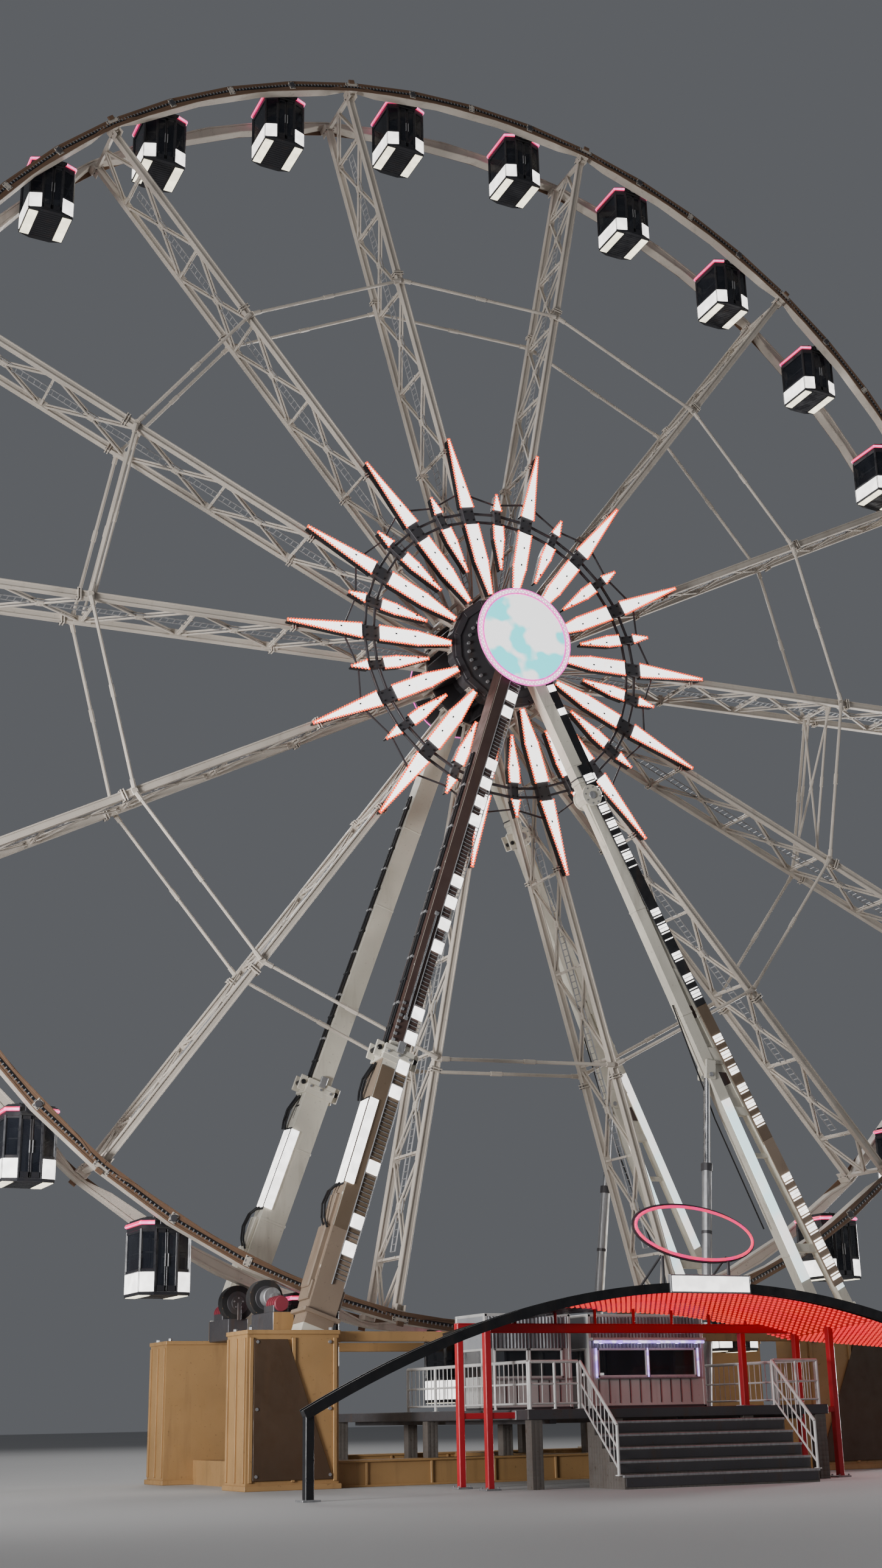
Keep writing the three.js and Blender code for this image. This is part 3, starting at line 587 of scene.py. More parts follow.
class WHEEL_OT_spokes(WheelStep):
    """Builds one lattice spoke with its ladder and copies it round the hub"""

    bl_idname = "wheel.spokes"
    bl_label = "Spokes"

    root = 0.8803
    tip = 9.9997
    chord_y = 0.44
    first = 9.2
    pitch = 1.43
    panels = 5
    outer_bar = 9.93
    inner_bar = 1.05
    joints = (3.42, 3.46, 6.60, 6.64)
    brace_x = 0.0225
    rail_y = 0.070

    def make(self, sizes):
        piece = begin("spoke", "cream", "galvanised", "grey")
        self.chords()
        self.braces(sizes.brace_thickness)
        self.ladder(sizes.rung_pitch)
        for side in (-1, 1):
            self.flange(side, self.root + 0.014, 0.20, 0.15, 0.445)
            self.flange(side, self.tip - 0.090, 0.17, 0.15, 0.46)
            for joint in self.joints:
                self.flange(side, joint, 0.17, 0.13, self.chord_y)
        settle(piece)
        for index in range(SPOKES):
            name = f"spoke_{index + 1:02d}"
            copy = twin(piece, name + "_lattice", about_hub(FIRST_SPOKE + index * STEP))
            hang_up(copy, WHEEL, "spoke_paint", name)
        bpy.data.objects.remove(piece)

    def chords(self):
        """The front and the back chord with their flanges and the seats at the tip."""
        middle, reach = (self.root + self.tip) / 2, self.tip - self.root
        for side in (-1, 1):
            y = side * self.chord_y
            block((0.074, 0.062, reach), (0, y, middle))
            for edge in (-1, 1):
                block((0.022, 0.09, reach), (edge * 0.044, y, middle), bevel=0.004)
            block((0.16, 0.2125, 0.08), (0, side * 0.50125, self.tip - 0.04), bevel=0.006)
            for x in (-0.06, 0.06):
                block((0.012, 0.13, 0.09), (x, side * 0.52, self.tip - 0.12), bevel=0.003)

    def braces(self, thickness):
        """Crossed braces in each panel, cross bars between them and struts at both ends."""
        for panel in range(self.panels):
            outer = self.first - panel * self.pitch
            inner = outer - self.pitch
            crossing = (outer + inner) / 2
            for x in (-self.brace_x, self.brace_x):
                bar((x, -self.chord_y, outer), (x, self.chord_y, inner), 0.022, thickness, bevel=0.003)
                bar((x, self.chord_y, outer), (x, -self.chord_y, inner), 0.022, thickness, bevel=0.003)
            block((0.074, 0.11, 0.10), (0, 0, crossing), bevel=0.005)
            block((0.10, 0.03, 0.03), (0, 0, crossing), bevel=0.003)
            for side in (-1, 1):
                block((0.118, 0.010, 0.26), (0, side * (self.chord_y - 0.049), outer), 0, 0.003)
        for panel in range(self.panels + 1):
            station = self.first - panel * self.pitch
            for x in (-self.brace_x, self.brace_x):
                block((0.022, 2 * self.chord_y, 0.034), (x, 0, station), bevel=0.003)
            for y in (-0.22, 0.22):
                block((0.12, 0.022, 0.022), (0, y, station), bevel=0.003)
        for end in (self.outer_bar, self.inner_bar):
            block((0.07, 2 * self.chord_y, 0.05), (0, 0, end), bevel=0.005)
        last = self.first - self.panels * self.pitch
        for side in (-1, 1):
            for x in (-self.brace_x, self.brace_x):
                for start, end in ((self.first, self.outer_bar), (last, self.inner_bar)):
                    bar((x, side * self.chord_y, start), (x, 0, end), 0.022, thickness, bevel=0.003)

    def ladder(self, rung_pitch):
        """Two thin rails and their rungs down the middle of the spoke."""
        low, high = 0.98, 9.1
        for side in (-1, 1):
            rod((0, side * self.rail_y, low), (0, side * self.rail_y, high), 0.010, 1, 6)
        for index in range(int((high - low) / rung_pitch) + 1):
            block((0.012, 2 * self.rail_y, 0.012), (0, 0, low + 0.02 + index * rung_pitch), 1)

    def flange(self, side, z, width, depth, y):
        """A bolted plate across a chord."""
        block((width, depth, 0.018), (0, side * y, z), 0, 0.004)
        for x in (-width / 2 + 0.018, width / 2 - 0.018):
            for shift in (-depth / 2 + 0.022, depth / 2 - 0.022):
                stud((x, side * y + shift, z - 0.020), (0, 0, 0.040), 0.009, 2)


class WHEEL_OT_rims(WheelStep):
    """Adds the rims' lips, drive band, joint plates and the cabins' bearings"""

    bl_idname = "wheel.rims"
    bl_label = "Rims"

    outer = 10.08
    inner = 9.92
    near = 0.4525
    far = 0.6075
    band = 10.0
    pivot_shares = (0.25, 0.75)
    frame_rise = 0.056

    def make(self, sizes):
        for name, side in (("rim_front", -1), ("rim_back", 1)):
            refinish(name, "rim")
            bay = begin(name + "_bay", "rim", "grey", "black", "galvanised", "bronze_and_painted_shade")
            self.lips(side)
            self.drive_band(side, sizes.tick_pitch)
            self.joint_plates(side)
            self.bearings(side)
            settle(bay)
            hang_up(all_round(bay, name + "_trim"), WHEEL, "rim_paint")

    def inner_outline(self):
        """The inner edge of one bay, with a flat seat at each spoke."""
        kink = math.radians(2.7)
        points = [on_wheel(self.band, 0, 0, 0.11)]
        for index in range(4):
            points.append(on_wheel(self.inner, kink + index * (STEP - 2 * kink) / 3))
        return points + [on_wheel(self.band, STEP, 0, sideways) for sideways in (-0.11, 0.11)]

    def lips(self, side):
        """Thin lips along the outer and the inner edge of both faces."""
        points = self.inner_outline()
        # The lips of the outer face take the dark band finish, which is partly painted shade.
        for y, finish in ((self.near - 0.003, 0), (self.far + 0.004, 4)):
            for index in range(4):
                ends = [on_wheel(self.outer - 0.016, (index + step) * STEP / 4, side * y) for step in (0, 1)]
                bar(*ends, 0.026, 0.014, finish, 0.002)
            for first, second in zip(points, points[1:]):
                shift = Vector((0, side * y, 0)) + ((first + second) / 2).normalized() * 0.016
                bar(first + shift, second + shift, 0.026, 0.014, finish, 0.002)

    def drive_band(self, side, pitch):
        """A dark flat along the outer face with a toothed groove at mid height; the flat's dark colour is
        partly the band's own and partly painted shade of the outer face.
        """
        face = side * (self.far + 0.002)
        for index in range(4):
            ends = [on_wheel(self.band, (index + step) * STEP / 4, face) for step in (0, 1)]
            bar(*ends, 0.140, 0.006, 4)
            bar(*[end + Vector((0, side * 0.003, 0)) for end in ends], 0.034, 0.008, 2)
        ticks = int(self.band * STEP / pitch)
        for index in range(ticks):
            angle = (index + 0.5) * STEP / ticks
            middle = on_wheel(self.band, angle, face + side * 0.006)
            block((0.016, 0.010, 0.034), middle, 3, 0, (0, angle, 0))

    def joint_plates(self, side):
        """Bolted plates over the joints of the outer face."""
        face = side * (self.far + 0.006)
        for index in range(4):
            angle = index * STEP / 4
            wide = 0.24 if index == 0 else 0.10
            low, high = (10.01, 10.072) if index == 0 else (9.932, 10.068)
            middle = on_wheel((low + high) / 2, angle, face)
            block((wide, 0.012, high - low), middle, 0, 0.003, (0, angle, 0))
            for x in (-wide / 2 + 0.02, wide / 2 - 0.02):
                for radius in (low + 0.016, high - 0.016):
                    stud(on_wheel(radius, angle, face, x), (0, side * 0.016, 0), 0.008, 1)
        # This block takes the dark band finish, which is partly painted shade.
        block((0.10, 0.030, 0.060), on_wheel(10.088, 0, side * (self.far + 0.017)), 4, 0.004)

    def bearings(self, side):
        """A square frame round each cabin's pin, and a cap on the outer face."""
        y = side * (self.near - 0.008)
        for share in self.pivot_shares:
            angle = share * STEP
            for rise in (-self.frame_rise, self.frame_rise):
                block((0.15, 0.018, 0.026), on_wheel(self.band + rise, angle, y), 0, 0.004, (0, angle, 0))
            for x in (-0.060, 0.060):
                block((0.030, 0.018, 0.090), on_wheel(self.band, angle, y, x), 0, 0.004, (0, angle, 0))
                for rise in (-self.frame_rise, self.frame_rise):
                    spot = on_wheel(self.band + rise, angle, side * (self.near - 0.016), x)
                    stud(spot, (0, -side * 0.010, 0), 0.009, 1)
            stud(on_wheel(self.band, angle, side * self.far), (0, side * 0.030, 0), 0.048, 1, 12, 0.005)


class WHEEL_OT_tie_rods(WheelStep):
    """Strings the tie rods from spoke to spoke, with crossed rods in two bays"""

    bl_idname = "wheel.tie_rods"
    bl_label = "Tie rods"

    radius = 6.46
    inner_radius = 6.36
    ring_y = 0.512
    braced_y = 0.26
    crossed_y = 0.36
    braced_bays = (4, 11)
    crossed_bay = 4

    def make(self, sizes):
        for name, side in (("tie_rods_front", -1), ("tie_rods_back", 1)):
            piece = begin(name + "_fine", "cream")
            for index in range(SPOKES):
                y = side * self.ring_y
                self.stay(self.radius, index, y, y, sizes.tie_radius)
                angle = FIRST_SPOKE + index * STEP
                clamp = on_wheel(self.radius, angle, side * 0.500) + HUB
                block((0.112, 0.028, 0.09), clamp, 0, 0.004, (0, angle, 0))
            for index in self.braced_bays:
                y = side * self.braced_y
                self.stay(self.inner_radius, index, y, y, sizes.tie_radius * 0.8)
            y = side * self.crossed_y
            self.stay(self.inner_radius - 0.02, self.crossed_bay, y, -y, sizes.tie_radius * 0.7)
            hang_up(settle(piece), WHEEL, "spoke_paint", name)

    def stay(self, radius, index, y_start, y_end, thickness):
        """A rod across one bay, with a turnbuckle and a sleeve at each end."""
        start = on_wheel(radius, FIRST_SPOKE + index * STEP, y_start, 0.03) + HUB
        end = on_wheel(radius, FIRST_SPOKE + (index + 1) * STEP, y_end, -0.03) + HUB
        rod(start, end, thickness, 0, 8)
        along = (end - start).normalized()
        middle = start.lerp(end, 0.5)
        rod(middle - along * 0.09, middle + along * 0.09, thickness * 1.35, 0, 8)
        for point, way in ((start, 1), (end, -1)):
            stud(point, along * 0.13 * way, thickness * 1.4, 0, 8)


class WHEEL_OT_hub(WheelStep):
    """Adds the ribs and bolt rings of the hub and the axle's bearing heads"""

    bl_idname = "wheel.hub"
    bl_label = "Hub and axle"

    flange_bolts = 0.62
    head_bolts = 0.40
    head_radius = 0.486
    head_faces = (0.80, 1.045)

    def make(self, sizes):
        refinish("hub", "grey")
        refinish("axle", "grey")
        rib = begin("hub_rib", "grey", "galvanised")
        block((0.024, 0.70, 0.36), (0, 0, 0.70), 0, 0.004)
        for side in (-1, 1):
            block((0.36, 0.03, 0.10), (0, side * 0.548, 0.80), 0, 0.004)
            for angle in (-STEP / 4, STEP / 4):
                stud(on_wheel(self.flange_bolts, angle, side * 0.54), (0, side * 0.035, 0), 0.026, 1)
        settle(rib)
        hang_up(all_round(rib, "hub_ribs"), WHEEL, "hub_steel")
        for name, side in (("front", -1), ("back", 1)):
            piece = begin(f"bearing_{name}", "grey", "galvanised")
            for y in self.head_faces:
                through(HUB + Vector((0, side * y, 0)), 0.014, self.head_radius, 0, 32, 0.004)
            for index in range(12):
                spot = HUB + on_wheel(self.head_bolts, index * math.pi / 6, side * 1.055)
                stud(spot, (0, side * 0.03, 0), 0.024, 1)
            hang_up(settle(piece, 30), GROUND, "hub_steel")


class WHEEL_OT_star(WheelStep):
    """Builds the lit star from one long and one short ray"""

    bl_idname = "wheel.star"
    bl_label = "Star"

    face = -0.62
    back = -0.4853
    ring_radii = (2.20, 2.34)
    long_blades = ((0.95, 0.034, 1.50, 0.112), (1.50, 0.112, 2.12, 0.116), (2.42, 0.114, 3.58, 0.012))
    short_blades = ((1.38, 0.012, 1.90, 0.086), (1.90, 0.086, 2.12, 0.086), (2.40, 0.070, 2.66, 0.010))

    def make(self, sizes):
        rays = []
        for name, blades, first, half, clips in (
            ("star_long", self.long_blades, 0.0, 0.10, (1.55, 1.86, 2.75)),
            ("star_short", self.short_blades, 0.5, 0.06, (1.55, 1.86)),
        ):
            ray = begin(name, "lamp_star", "bead", "black", "grey")
            for blade in blades:
                self.blade(*blade)
                self.edge_beads(*blade, sizes.bead_pitch, sizes.bead_radius)
            block((2 * half, 0.11, 0.30), (0, -0.545, 2.27), 3, 0.006)
            for x in (-half * 0.6, half * 0.6):
                for radius in self.ring_radii:
                    stud((x, -0.602, radius), (0, -0.010, 0), 0.014, 2)
            for clip in clips:
                block((0.022, 0.006, 0.030), (0.02, self.face - 0.002, clip), 2)
            self.ring_bars(first)
            rays.append(all_round(settle(ray), name, SPOKES, FIRST_SPOKE + first * STEP))
        hang_up(join(rays, "star_rays"), WHEEL, "light_panel", "star")

    def blade(self, low, low_half, high, high_half):
        """A lit face on a dark shallow box that widens or narrows outwards."""
        wide, join_y = max(low_half, high_half), self.face + 0.022
        for finish, y0, y1, shrink in ((2, join_y, self.back, 0.0), (0, self.face, join_y, 0.006)):
            half = wide - shrink
            block((2 * half, y1 - y0, high - low), (0, (y0 + y1) / 2, (low + high) / 2), finish)
            end, narrow, z = (1, high_half, high) if high_half < low_half else (-1, low_half, low)
            pinch((0, 0, end), (max(narrow - shrink, 0.004) / half, 1, 1), (0, (y0 + y1) / 2, z))

    def edge_beads(self, low, low_half, high, high_half, pitch, radius):
        """Small orange lamps along both edges of a blade."""
        count = int((high - low) / pitch)
        for side in (-1, 1):
            for index in range(count + 1):
                share = index / count
                half = low_half + (high_half - low_half) * share
                bead((side * half, self.face + 0.006, low + (high - low) * share), radius, 1)

    def ring_bars(self, first):
        """Thin bars of the rings that tie this ray to the next one."""
        for radius in self.ring_radii:
            ends = [on_wheel(radius, step * STEP / 2, -0.53) for step in (0, 1)]
            bar(*ends, 0.035, 0.035, 3, 0.004)
        if first == 0:
            for way in (-1, 1):
                bar((0, -0.52, 2.70), on_wheel(2.52, way * STEP / 2, -0.52), 0.022, 0.022, 3)


class WHEEL_OT_discs(WheelStep):
    """Builds the two lit discs on the axle's ends"""

    bl_idname = "wheel.discs"
    bl_label = "Lit discs"

    drums = ((1.0603, 1.155, 0.20, 0, 0.0), (1.155, 1.195, 0.780, 0, 0.006),
             (1.193, 1.203, 0.785, 2, 0.004), (1.200, 1.212, 0.690, 1, 0.006))
    hoops = ((1.204, 0.702, 0.013), (1.198, 0.783, 0.010))
    bulb_rings = ((0.731, 0), (0.760, 0.5))
    bulbs = 76
    arms = 8

    def make(self, sizes):
        for name, side in (("hub_disc_front", -1), ("hub_disc_back", 1)):
            piece = begin(name + "_lit", "grey", "lamp_disc", "lamp_rose", "lamp_magenta", "lamp",
                          "galvanised")
            for near, far, radius, finish, bevel in self.drums:
                ends = [HUB + Vector((0, side * y, 0)) for y in (near, far)]
                rod(*ends, radius, finish, 64, bevel)
            for y, radius, thickness in self.hoops:
                turns = [index * math.pi / 32 for index in range(65)]
                chain([HUB + on_wheel(radius, turn, side * y) for turn in turns], thickness, 3, 6)
            for radius, shift in self.bulb_rings:
                for index in range(self.bulbs):
                    angle = (index + shift) * 2 * math.pi / self.bulbs
                    bead(HUB + on_wheel(radius, angle, side * 1.205), 0.0085, 4)
            for index in range(self.arms):
                angle = (index + 0.5) * 2 * math.pi / self.arms
                start = HUB + on_wheel(0.18, angle, side * 1.11)
                end = HUB + on_wheel(0.70, angle, side * 1.14)
                bar(start, end, 0.03, 0.05, 5, 0.004)
            hang_up(settle(piece, 30), GROUND, "light_panel", name)


class WHEEL_OT_cabins(WheelStep):
    """Builds one cabin with its lights and copies it to every pivot"""

    bl_idname = "wheel.cabins"
    bl_label = "Cabins"

    side_x = 0.331
    side_y = 0.316
    door_x = 0.154
    door_y = 0.380
    floor = -0.918
    sill = -0.631
    head = -0.110
    door_bays = (2, 6)

    def make(self, sizes):
        shell = begin("cabin_shell", "shell", "glass", "lining", "seat", "galvanised", "rubber")
        self.plan_block(self.floor, -0.878, 0.0, 0)
        self.plan_block(self.head, 0.012, 0.004, 0)
        self.plan_block(0.010, 0.034, 0.03, 0)
        self.plan_block(0.032, 0.050, 0.09, 0)
        self.walls()
        self.doors()
        self.seats()
        self.pivots()
        self.underside()
        settle(shell)
        lights = begin("cabin_lights", "lamp", "lamp_warm", "lamp_pink", "rubber", "lamp_crimson")
        self.lit_bands()
        self.roof_tubes(sizes.tube_radius)
        settle(lights, 40)
        for name in CABINS:
            place = Matrix.Translation(PIVOTS[name])
            hang_up(twin(shell, name + "_body", place), name, "cabin_shell", name)
            hang_up(twin(lights, name + "_lights", place), name, "light_panel")
        bpy.data.objects.remove(shell)
        bpy.data.objects.remove(lights)

    def plan(self):
        """The eight corners of the plan."""
        half = [(self.side_x, -self.side_y), (self.side_x, self.side_y),
                (self.door_x, self.door_y), (-self.door_x, self.door_y)]
        return half + [(-x, -y) for x, y in half]

    def plan_block(self, low, high, inset, finish):
        """A box cut to the eight-sided plan."""
        x, y = self.side_x - inset, self.door_y - inset
        block((2 * x, 2 * y, high - low), (0, 0, (low + high) / 2), finish)
        across = (self.side_x - self.door_x, self.door_y - self.side_y)
        for sx in (-1, 1):
            for sy in (-1, 1):
                corner = (sx * (self.door_x - inset * 0.3), sy * y, 0)
                bpy.ops.mesh.select_linked()
                bpy.ops.mesh.bisect(plane_co=corner, plane_no=(sx * across[1], sy * across[0], 0),
                                    use_fill=True, clear_outer=True)

    def board(self, first, second, low, high, thick, finish, inward=0.0, trim=0.0, bevel=0.0):
        """An upright board from one plan corner to the next."""
        first, second = Vector((*first, 0)), Vector((*second, 0))
        along = (second - first).normalized()
        inside = Vector((-along.y, along.x, 0)) * (inward + thick / 2)
        middle = (first + second) / 2 + inside + Vector((0, 0, (low + high) / 2))
        reach = (second - first).length - 2 * trim
        block((reach, thick, high - low), middle, finish, bevel, (0, 0, math.atan2(along.y, along.x)))

    def walls(self):
        """Panels, glass and rails between the corner posts, apart from the two door bays."""
        ring = self.plan()
        for index, first in enumerate(ring):
            second = ring[(index + 1) % 8]
            if index not in self.door_bays:
                self.board(first, second, -0.88, self.sill, 0.016, 0, 0.004)
                self.board(first, second, self.sill - 0.004, self.head, 0.006, 1, 0.012, 0.02)
                self.board(first, second, self.sill, self.sill + 0.035, 0.026, 0, 0.0, 0.0, 0.004)
                self.board(first, second, self.head - 0.035, self.head, 0.026, 0, 0.0, 0.0, 0.004)
                self.board(first, second, -0.40, -0.385, 0.012, 4, 0.045, 0.03)
                self.board(first, second, -0.88, self.sill, 0.008, 2, 0.024, 0.01)
            middle = Vector((*first, (self.floor + self.head) / 2 + 0.02))
            inward = -Vector((*first, 0)).normalized() * 0.018
            turn = (0, 0, math.atan2(first[1], first[0]))
            block((0.036, 0.036, self.head - self.floor - 0.02), middle + inward, 0, 0.005, turn)

    def doors(self):
        """Two sliding leaves at each end, with a track over them and a step below."""
        for side in (-1, 1):
            y = side * (self.door_y - 0.012)
            for leaf in (-1, 1):
                x = leaf * 0.071
                for low, high in ((-0.872, -0.80), (-0.155, self.head)):
                    block((0.136, 0.022, high - low), (x, y, (low + high) / 2), 0, 0.004)
                for edge in (-0.058, 0.058):
                    block((0.020, 0.022, 0.762), (x + edge, y, -0.491), 0, 0.004)
                block((0.10, 0.008, 0.66), (x, y, -0.478), 1)
                block((0.012, 0.020, 0.16), (leaf * 0.020, side * (self.door_y + 0.004), -0.49), 4, 0.003)
            block((0.30, 0.030, 0.028), (0, side * (self.door_y - 0.004), -0.095), 5, 0.004)
            block((0.28, 0.05, 0.022), (0, side * (self.door_y - 0.03), -0.885), 4, 0.004)

    def seats(self):
        """Two facing benches with backs and boxed feet, and a plate on the ceiling."""
        for side in (-1, 1):
            block((0.17, 0.50, 0.05), (side * 0.215, 0, -0.665), 3, 0.012)
            block((0.05, 0.50, 0.20), (side * 0.272, 0, -0.545), 3, 0.012)
            block((0.14, 0.46, 0.19), (side * 0.215, 0, -0.785), 2, 0.006)
        block((0.16, 0.16, 0.008), (0, 0, self.head - 0.004), 2, 0.002)

    def pivots(self):
        """The pins that the cabin hangs on, with their plates and two roof rails."""
        for side in (-1, 1):
            block((0.20, 0.026, 0.09), (0, side * (self.door_y - 0.005), -0.012), 0, 0.006)
            rod((0, side * 0.36, 0), (0, side * 0.4522, 0), 0.034, 4, 12)
            rod((0, side * 0.385, 0), (0, side * 0.399, 0), 0.052, 4, 12, 0.003)
        for x in (-0.16, 0.16):
            block((0.03, 0.66, 0.03), (x, 0, 0.040), 0, 0.005)

    def underside(self):
        """Slats and two rails under the floor."""
        for index in range(13):
            block((0.30, 0.022, 0.012), (0, -0.30 + index * 0.05, -0.916), 0)
        for x in (-0.168, 0.168):
            block((0.014, 0.66, 0.014), (x, 0, -0.917), 0)

    def lit_bands(self):
        """Lit panels round the foot of the shell and lit strips under its floor."""
        ring = self.plan()
        for index, first in enumerate(ring):
            if index not in self.door_bays:
                second = ring[(index + 1) % 8]
                self.board(first, second, -0.877, self.sill - 0.006, 0.010, 0, -0.006, 0.003, 0.002)
        for x in (-0.252, 0.252):
            block((0.136, 0.60, 0.012), (x, 0, -0.920), 1, 0.003)

    def roof_tubes(self, radius):
        """A tube along each side of the roof that bends round to the doors."""
        z = -0.034
        for sx in (-1, 1):
            points = [(sx * 0.172, -0.388), (sx * 0.337, -0.322), (sx * 0.337, 0.322), (sx * 0.172, 0.388)]
            points = [Vector((x, y, z)) for x, y in points]
            inner = [Vector((point.x * 0.975, point.y * 0.972, z + 0.004)) for point in points]
            chain(inner, radius * 1.16, 4, 10)
            chain(points, radius * 0.78, 2, 10)
            for corner in points[1:3]:
                bead(corner, radius * 0.80, 2)
            for tip, way in ((points[0], points[1]), (points[3], points[2])):
                stud(tip, (tip - way).normalized() * 0.012, radius * 1.15, 3, 10)


class LegLine:
    """A line down a leg: a share runs along it, u across it and v through it."""

    def __init__(self, start, end):
        self.matrix = line_matrix(start, end)
        self.reach = (end - start).length

    def spot(self, share, u, v, shift=0.0):
        """A point at a share of the line, moved on by shift metres."""
        return self.matrix @ Vector((u, v, share * self.reach + shift))

    def part(self, share, u, v, size, finish=0, bevel=0.004, shift=0.0):
        """A box laid along the line."""
        block(size, self.spot(share, u, v, shift), finish, bevel, self.matrix.to_euler())

    def span(self, start, end, u, v, width, depth, finish=0, bevel=0.004):
        """A box along the line from one share to another."""
        low, high = start * self.reach, end * self.reach
        middle = self.matrix @ Vector((u, v, (low + high) / 2))
        block((width, depth, high - low), middle, finish, bevel, self.matrix.to_euler())

    def tube(self, start, end, u, v, radius, finish):
        """A round tube along the line."""
        rod(self.spot(start, u, v), self.spot(end, u, v), radius, finish, 12)

    def pin(self, share, shift, u, half, radius, finish):
        """A round pin through the line."""
        rod(self.spot(share, u, -half, shift), self.spot(share, u, half, shift), radius, finish, 16, 0.004)


class WHEEL_OT_legs(WheelStep):
    """Adds the lamps, covers, cylinders and pins of the four legs"""

    bl_idname = "wheel.legs"
    bl_label = "Legs"

    squares = (0.098, 0.124, 0.212, 0.243, 0.273, 0.302, 0.397, 0.429, 0.462, 0.495, 0.591, 0.625,
               0.666, 0.699, 0.798, 0.866, 0.900)
    lit_spans = ((0.205, 0.345), (0.405, 0.452), (0.468, 0.484), (0.500, 0.540),
                 (0.587, 0.643), (0.657, 0.725), (0.783, 0.928))
    strip_trays = ((0.19, 0.545, 1), (0.545, 0.735, 3), (0.735, 0.935, 4))
    collar_hoses = ((0.668, 0.20, 0.02), (0.690, 0.26, 0.06), (0.706, 0.24, 0.10), (0.716, 0.21, 0.12))
    foot_hoses = ((0.826, 0.22, 0.10), (0.838, 0.30, 0.12), (0.856, 0.33, 0.10), (0.872, 0.30, 0.06),
                  (0.884, 0.24, 0.02))
    knuckle_share = 0.238
    knuckle_x = 4.33
    collar_share = 0.654
    panel = (0.717, 0.826)
    top_y = 0.95
    splay = 0.60
    foot_z = 1.79
    left_foot_x = 3.55
    prong_feet_x = (4.215, 4.85)
    prong_widths = (0.175, 0.145)
    strip_x = 4.80

    def make(self, sizes):
        for depth, side_y in (("front", -1), ("back", 1)):
            refinish(f"leg_{depth}_left", "ivory")
            refinish(f"leg_{depth}_right", "ivory")
            self.left_leg(depth, side_y, sizes)
            self.right_leg(depth, side_y)

    def point(self, side_x, side_y, share, foot_x=left_foot_x):
        """A point on a leg's middle line, by its share of the height."""
        return Vector((side_x * foot_x * share, side_y * (self.top_y + self.splay * share),
                       HUB.z + (self.foot_z - HUB.z) * share))

    def left_leg(self, depth, side_y, sizes):
        """Bands, collar, trays, hoses, foot and lit panel of a telescoping leg."""
        front = side_y < 0
        line = LegLine(self.point(-1, side_y, 0), self.point(-1, side_y, 1))
        piece = begin(f"leg_{depth}_left_fittings", "ivory", "tray", "galvanised", "chrome", "black",
                      "umber", "tan")
        for share in (0.74, 0.84, 0.93):
            line.part(share, 0, 0, (0.394, 0.354, 0.04))
        for share in (0.252, 0.377, 0.53):
            line.part(share, 0, 0, (0.300, 0.310, 0.026))
        self.collar(line)
        if front:
            self.front_trays(line)
        for shift in (-0.05, 0.0, 0.05):
            line.tube(0.20, 0.70, 0.160 + (0.008 if shift else 0.016), shift, 0.017, 4)
        for index in range(15):
            line.part(0.22 + index * 0.033, 0.165, 0, (0.050, 0.16, 0.035), 2 if index % 2 else 4)
        self.hose_ends(line)
        trunk = 6 if front else 0
        line.span(0.840, 0.885, 0.215, 0, 0.06, 0.20, trunk, 0.012)
        line.span(0.88, 0.955, 0.225, 0, 0.08, 0.24, trunk, 0.015)
        if front:
            line.span(0.880, 0.996, 0, -0.175, 0.384, 0.012, 6, 0.003)
            line.span(0.660, 0.996, 0.194, 0, 0.010, 0.34, 6, 0.003)
        line.part(0.982, 0, 0, (0.50, 0.46, 0.05), trunk, 0.008)
        for u in (-0.215, 0.215):
            line.part(0.958, u, 0, (0.04, 0.30, 0.24), trunk, 0.008)
        hang_up(settle(piece, 30), GROUND, "leg_paint")
        lights = begin(f"leg_{depth}_left_lights", "lamp", "black", "galvanised")
        low, high = self.panel
        line.span(low, high, 0.204, 0, 0.024, 0.24, 0, 0.006)
        line.span(low, high, 0.150, -0.190, 0.125, 0.020)
        line.span(low - 0.003, high + 0.003, 0.198, 0, 0.016, 0.265, 1)
        if front:
            self.lamp_ladder(line, sizes.leg_lamp)
        hang_up(settle(lights), GROUND, "light_panel")

    def collar(self, line):
        """The bolted collar at the sleeve's top, with its lugs and pins."""
        place = self.collar_share
        line.part(place, 0, 0, (0.446, 0.406, 0.08), 0, 0.010)
        for out in (-1, 1):
            for u in (-0.16, 0.0, 0.16):
                ends = [line.spot(place, u, out * 0.203 + way * 0.02) for way in (-out, out)]
                rod(*ends, 0.020, 2, 6)
        for u in (-0.26, 0.27):
            for v in (-0.11, 0.11):
                line.part(place, u, v, (0.11, 0.030, 0.22), 0, 0.008, -0.02)
            line.pin(place, -0.03, u, 0.15, 0.036, 4)
        for v in (-0.1944, 0.1944):
            line.part(place, 0, v, (0.10, 0.05, 0.16), 2, 0.006, -0.12)

    def front_trays(self, line):
        """Trays over the front face, with a silver rod and a row of clamps."""
        line.span(0.030, 0.636, 0, -0.156, 0.286, 0.014, 5, 0.003)
        line.span(0.050, 0.636, 0.151, 0, 0.012, 0.296, 5, 0.003)
        line.span(0.672, 0.880, 0, -0.176, 0.366, 0.014, 1, 0.003)
        line.tube(0.452, 0.603, 0.052, -0.178, 0.015, 3)
        for share in (0.452, 0.603):
            line.part(share, 0.052, -0.172, (0.06, 0.03, 0.05), 2)
        for index in range(7):
            line.part(0.585 + index * 0.0085, 0.132, -0.172, (0.045, 0.030, 0.035), 2, 0.003)

    def hose_ends(self, line):
        """Loose hoses that loop down beside the lit panel and below it."""
        for knots, shifts, spread, radius in ((self.collar_hoses, (-0.05, 0.0, 0.05), 0.4, 0.016),
                                              (self.foot_hoses, (-0.14, -0.05), 0.0, 0.014)):
            for shift in shifts:
                out = abs(shift) * spread
                chain([line.spot(share, u + out, v + shift) for share, u, v in knots], radius, 4, 8)

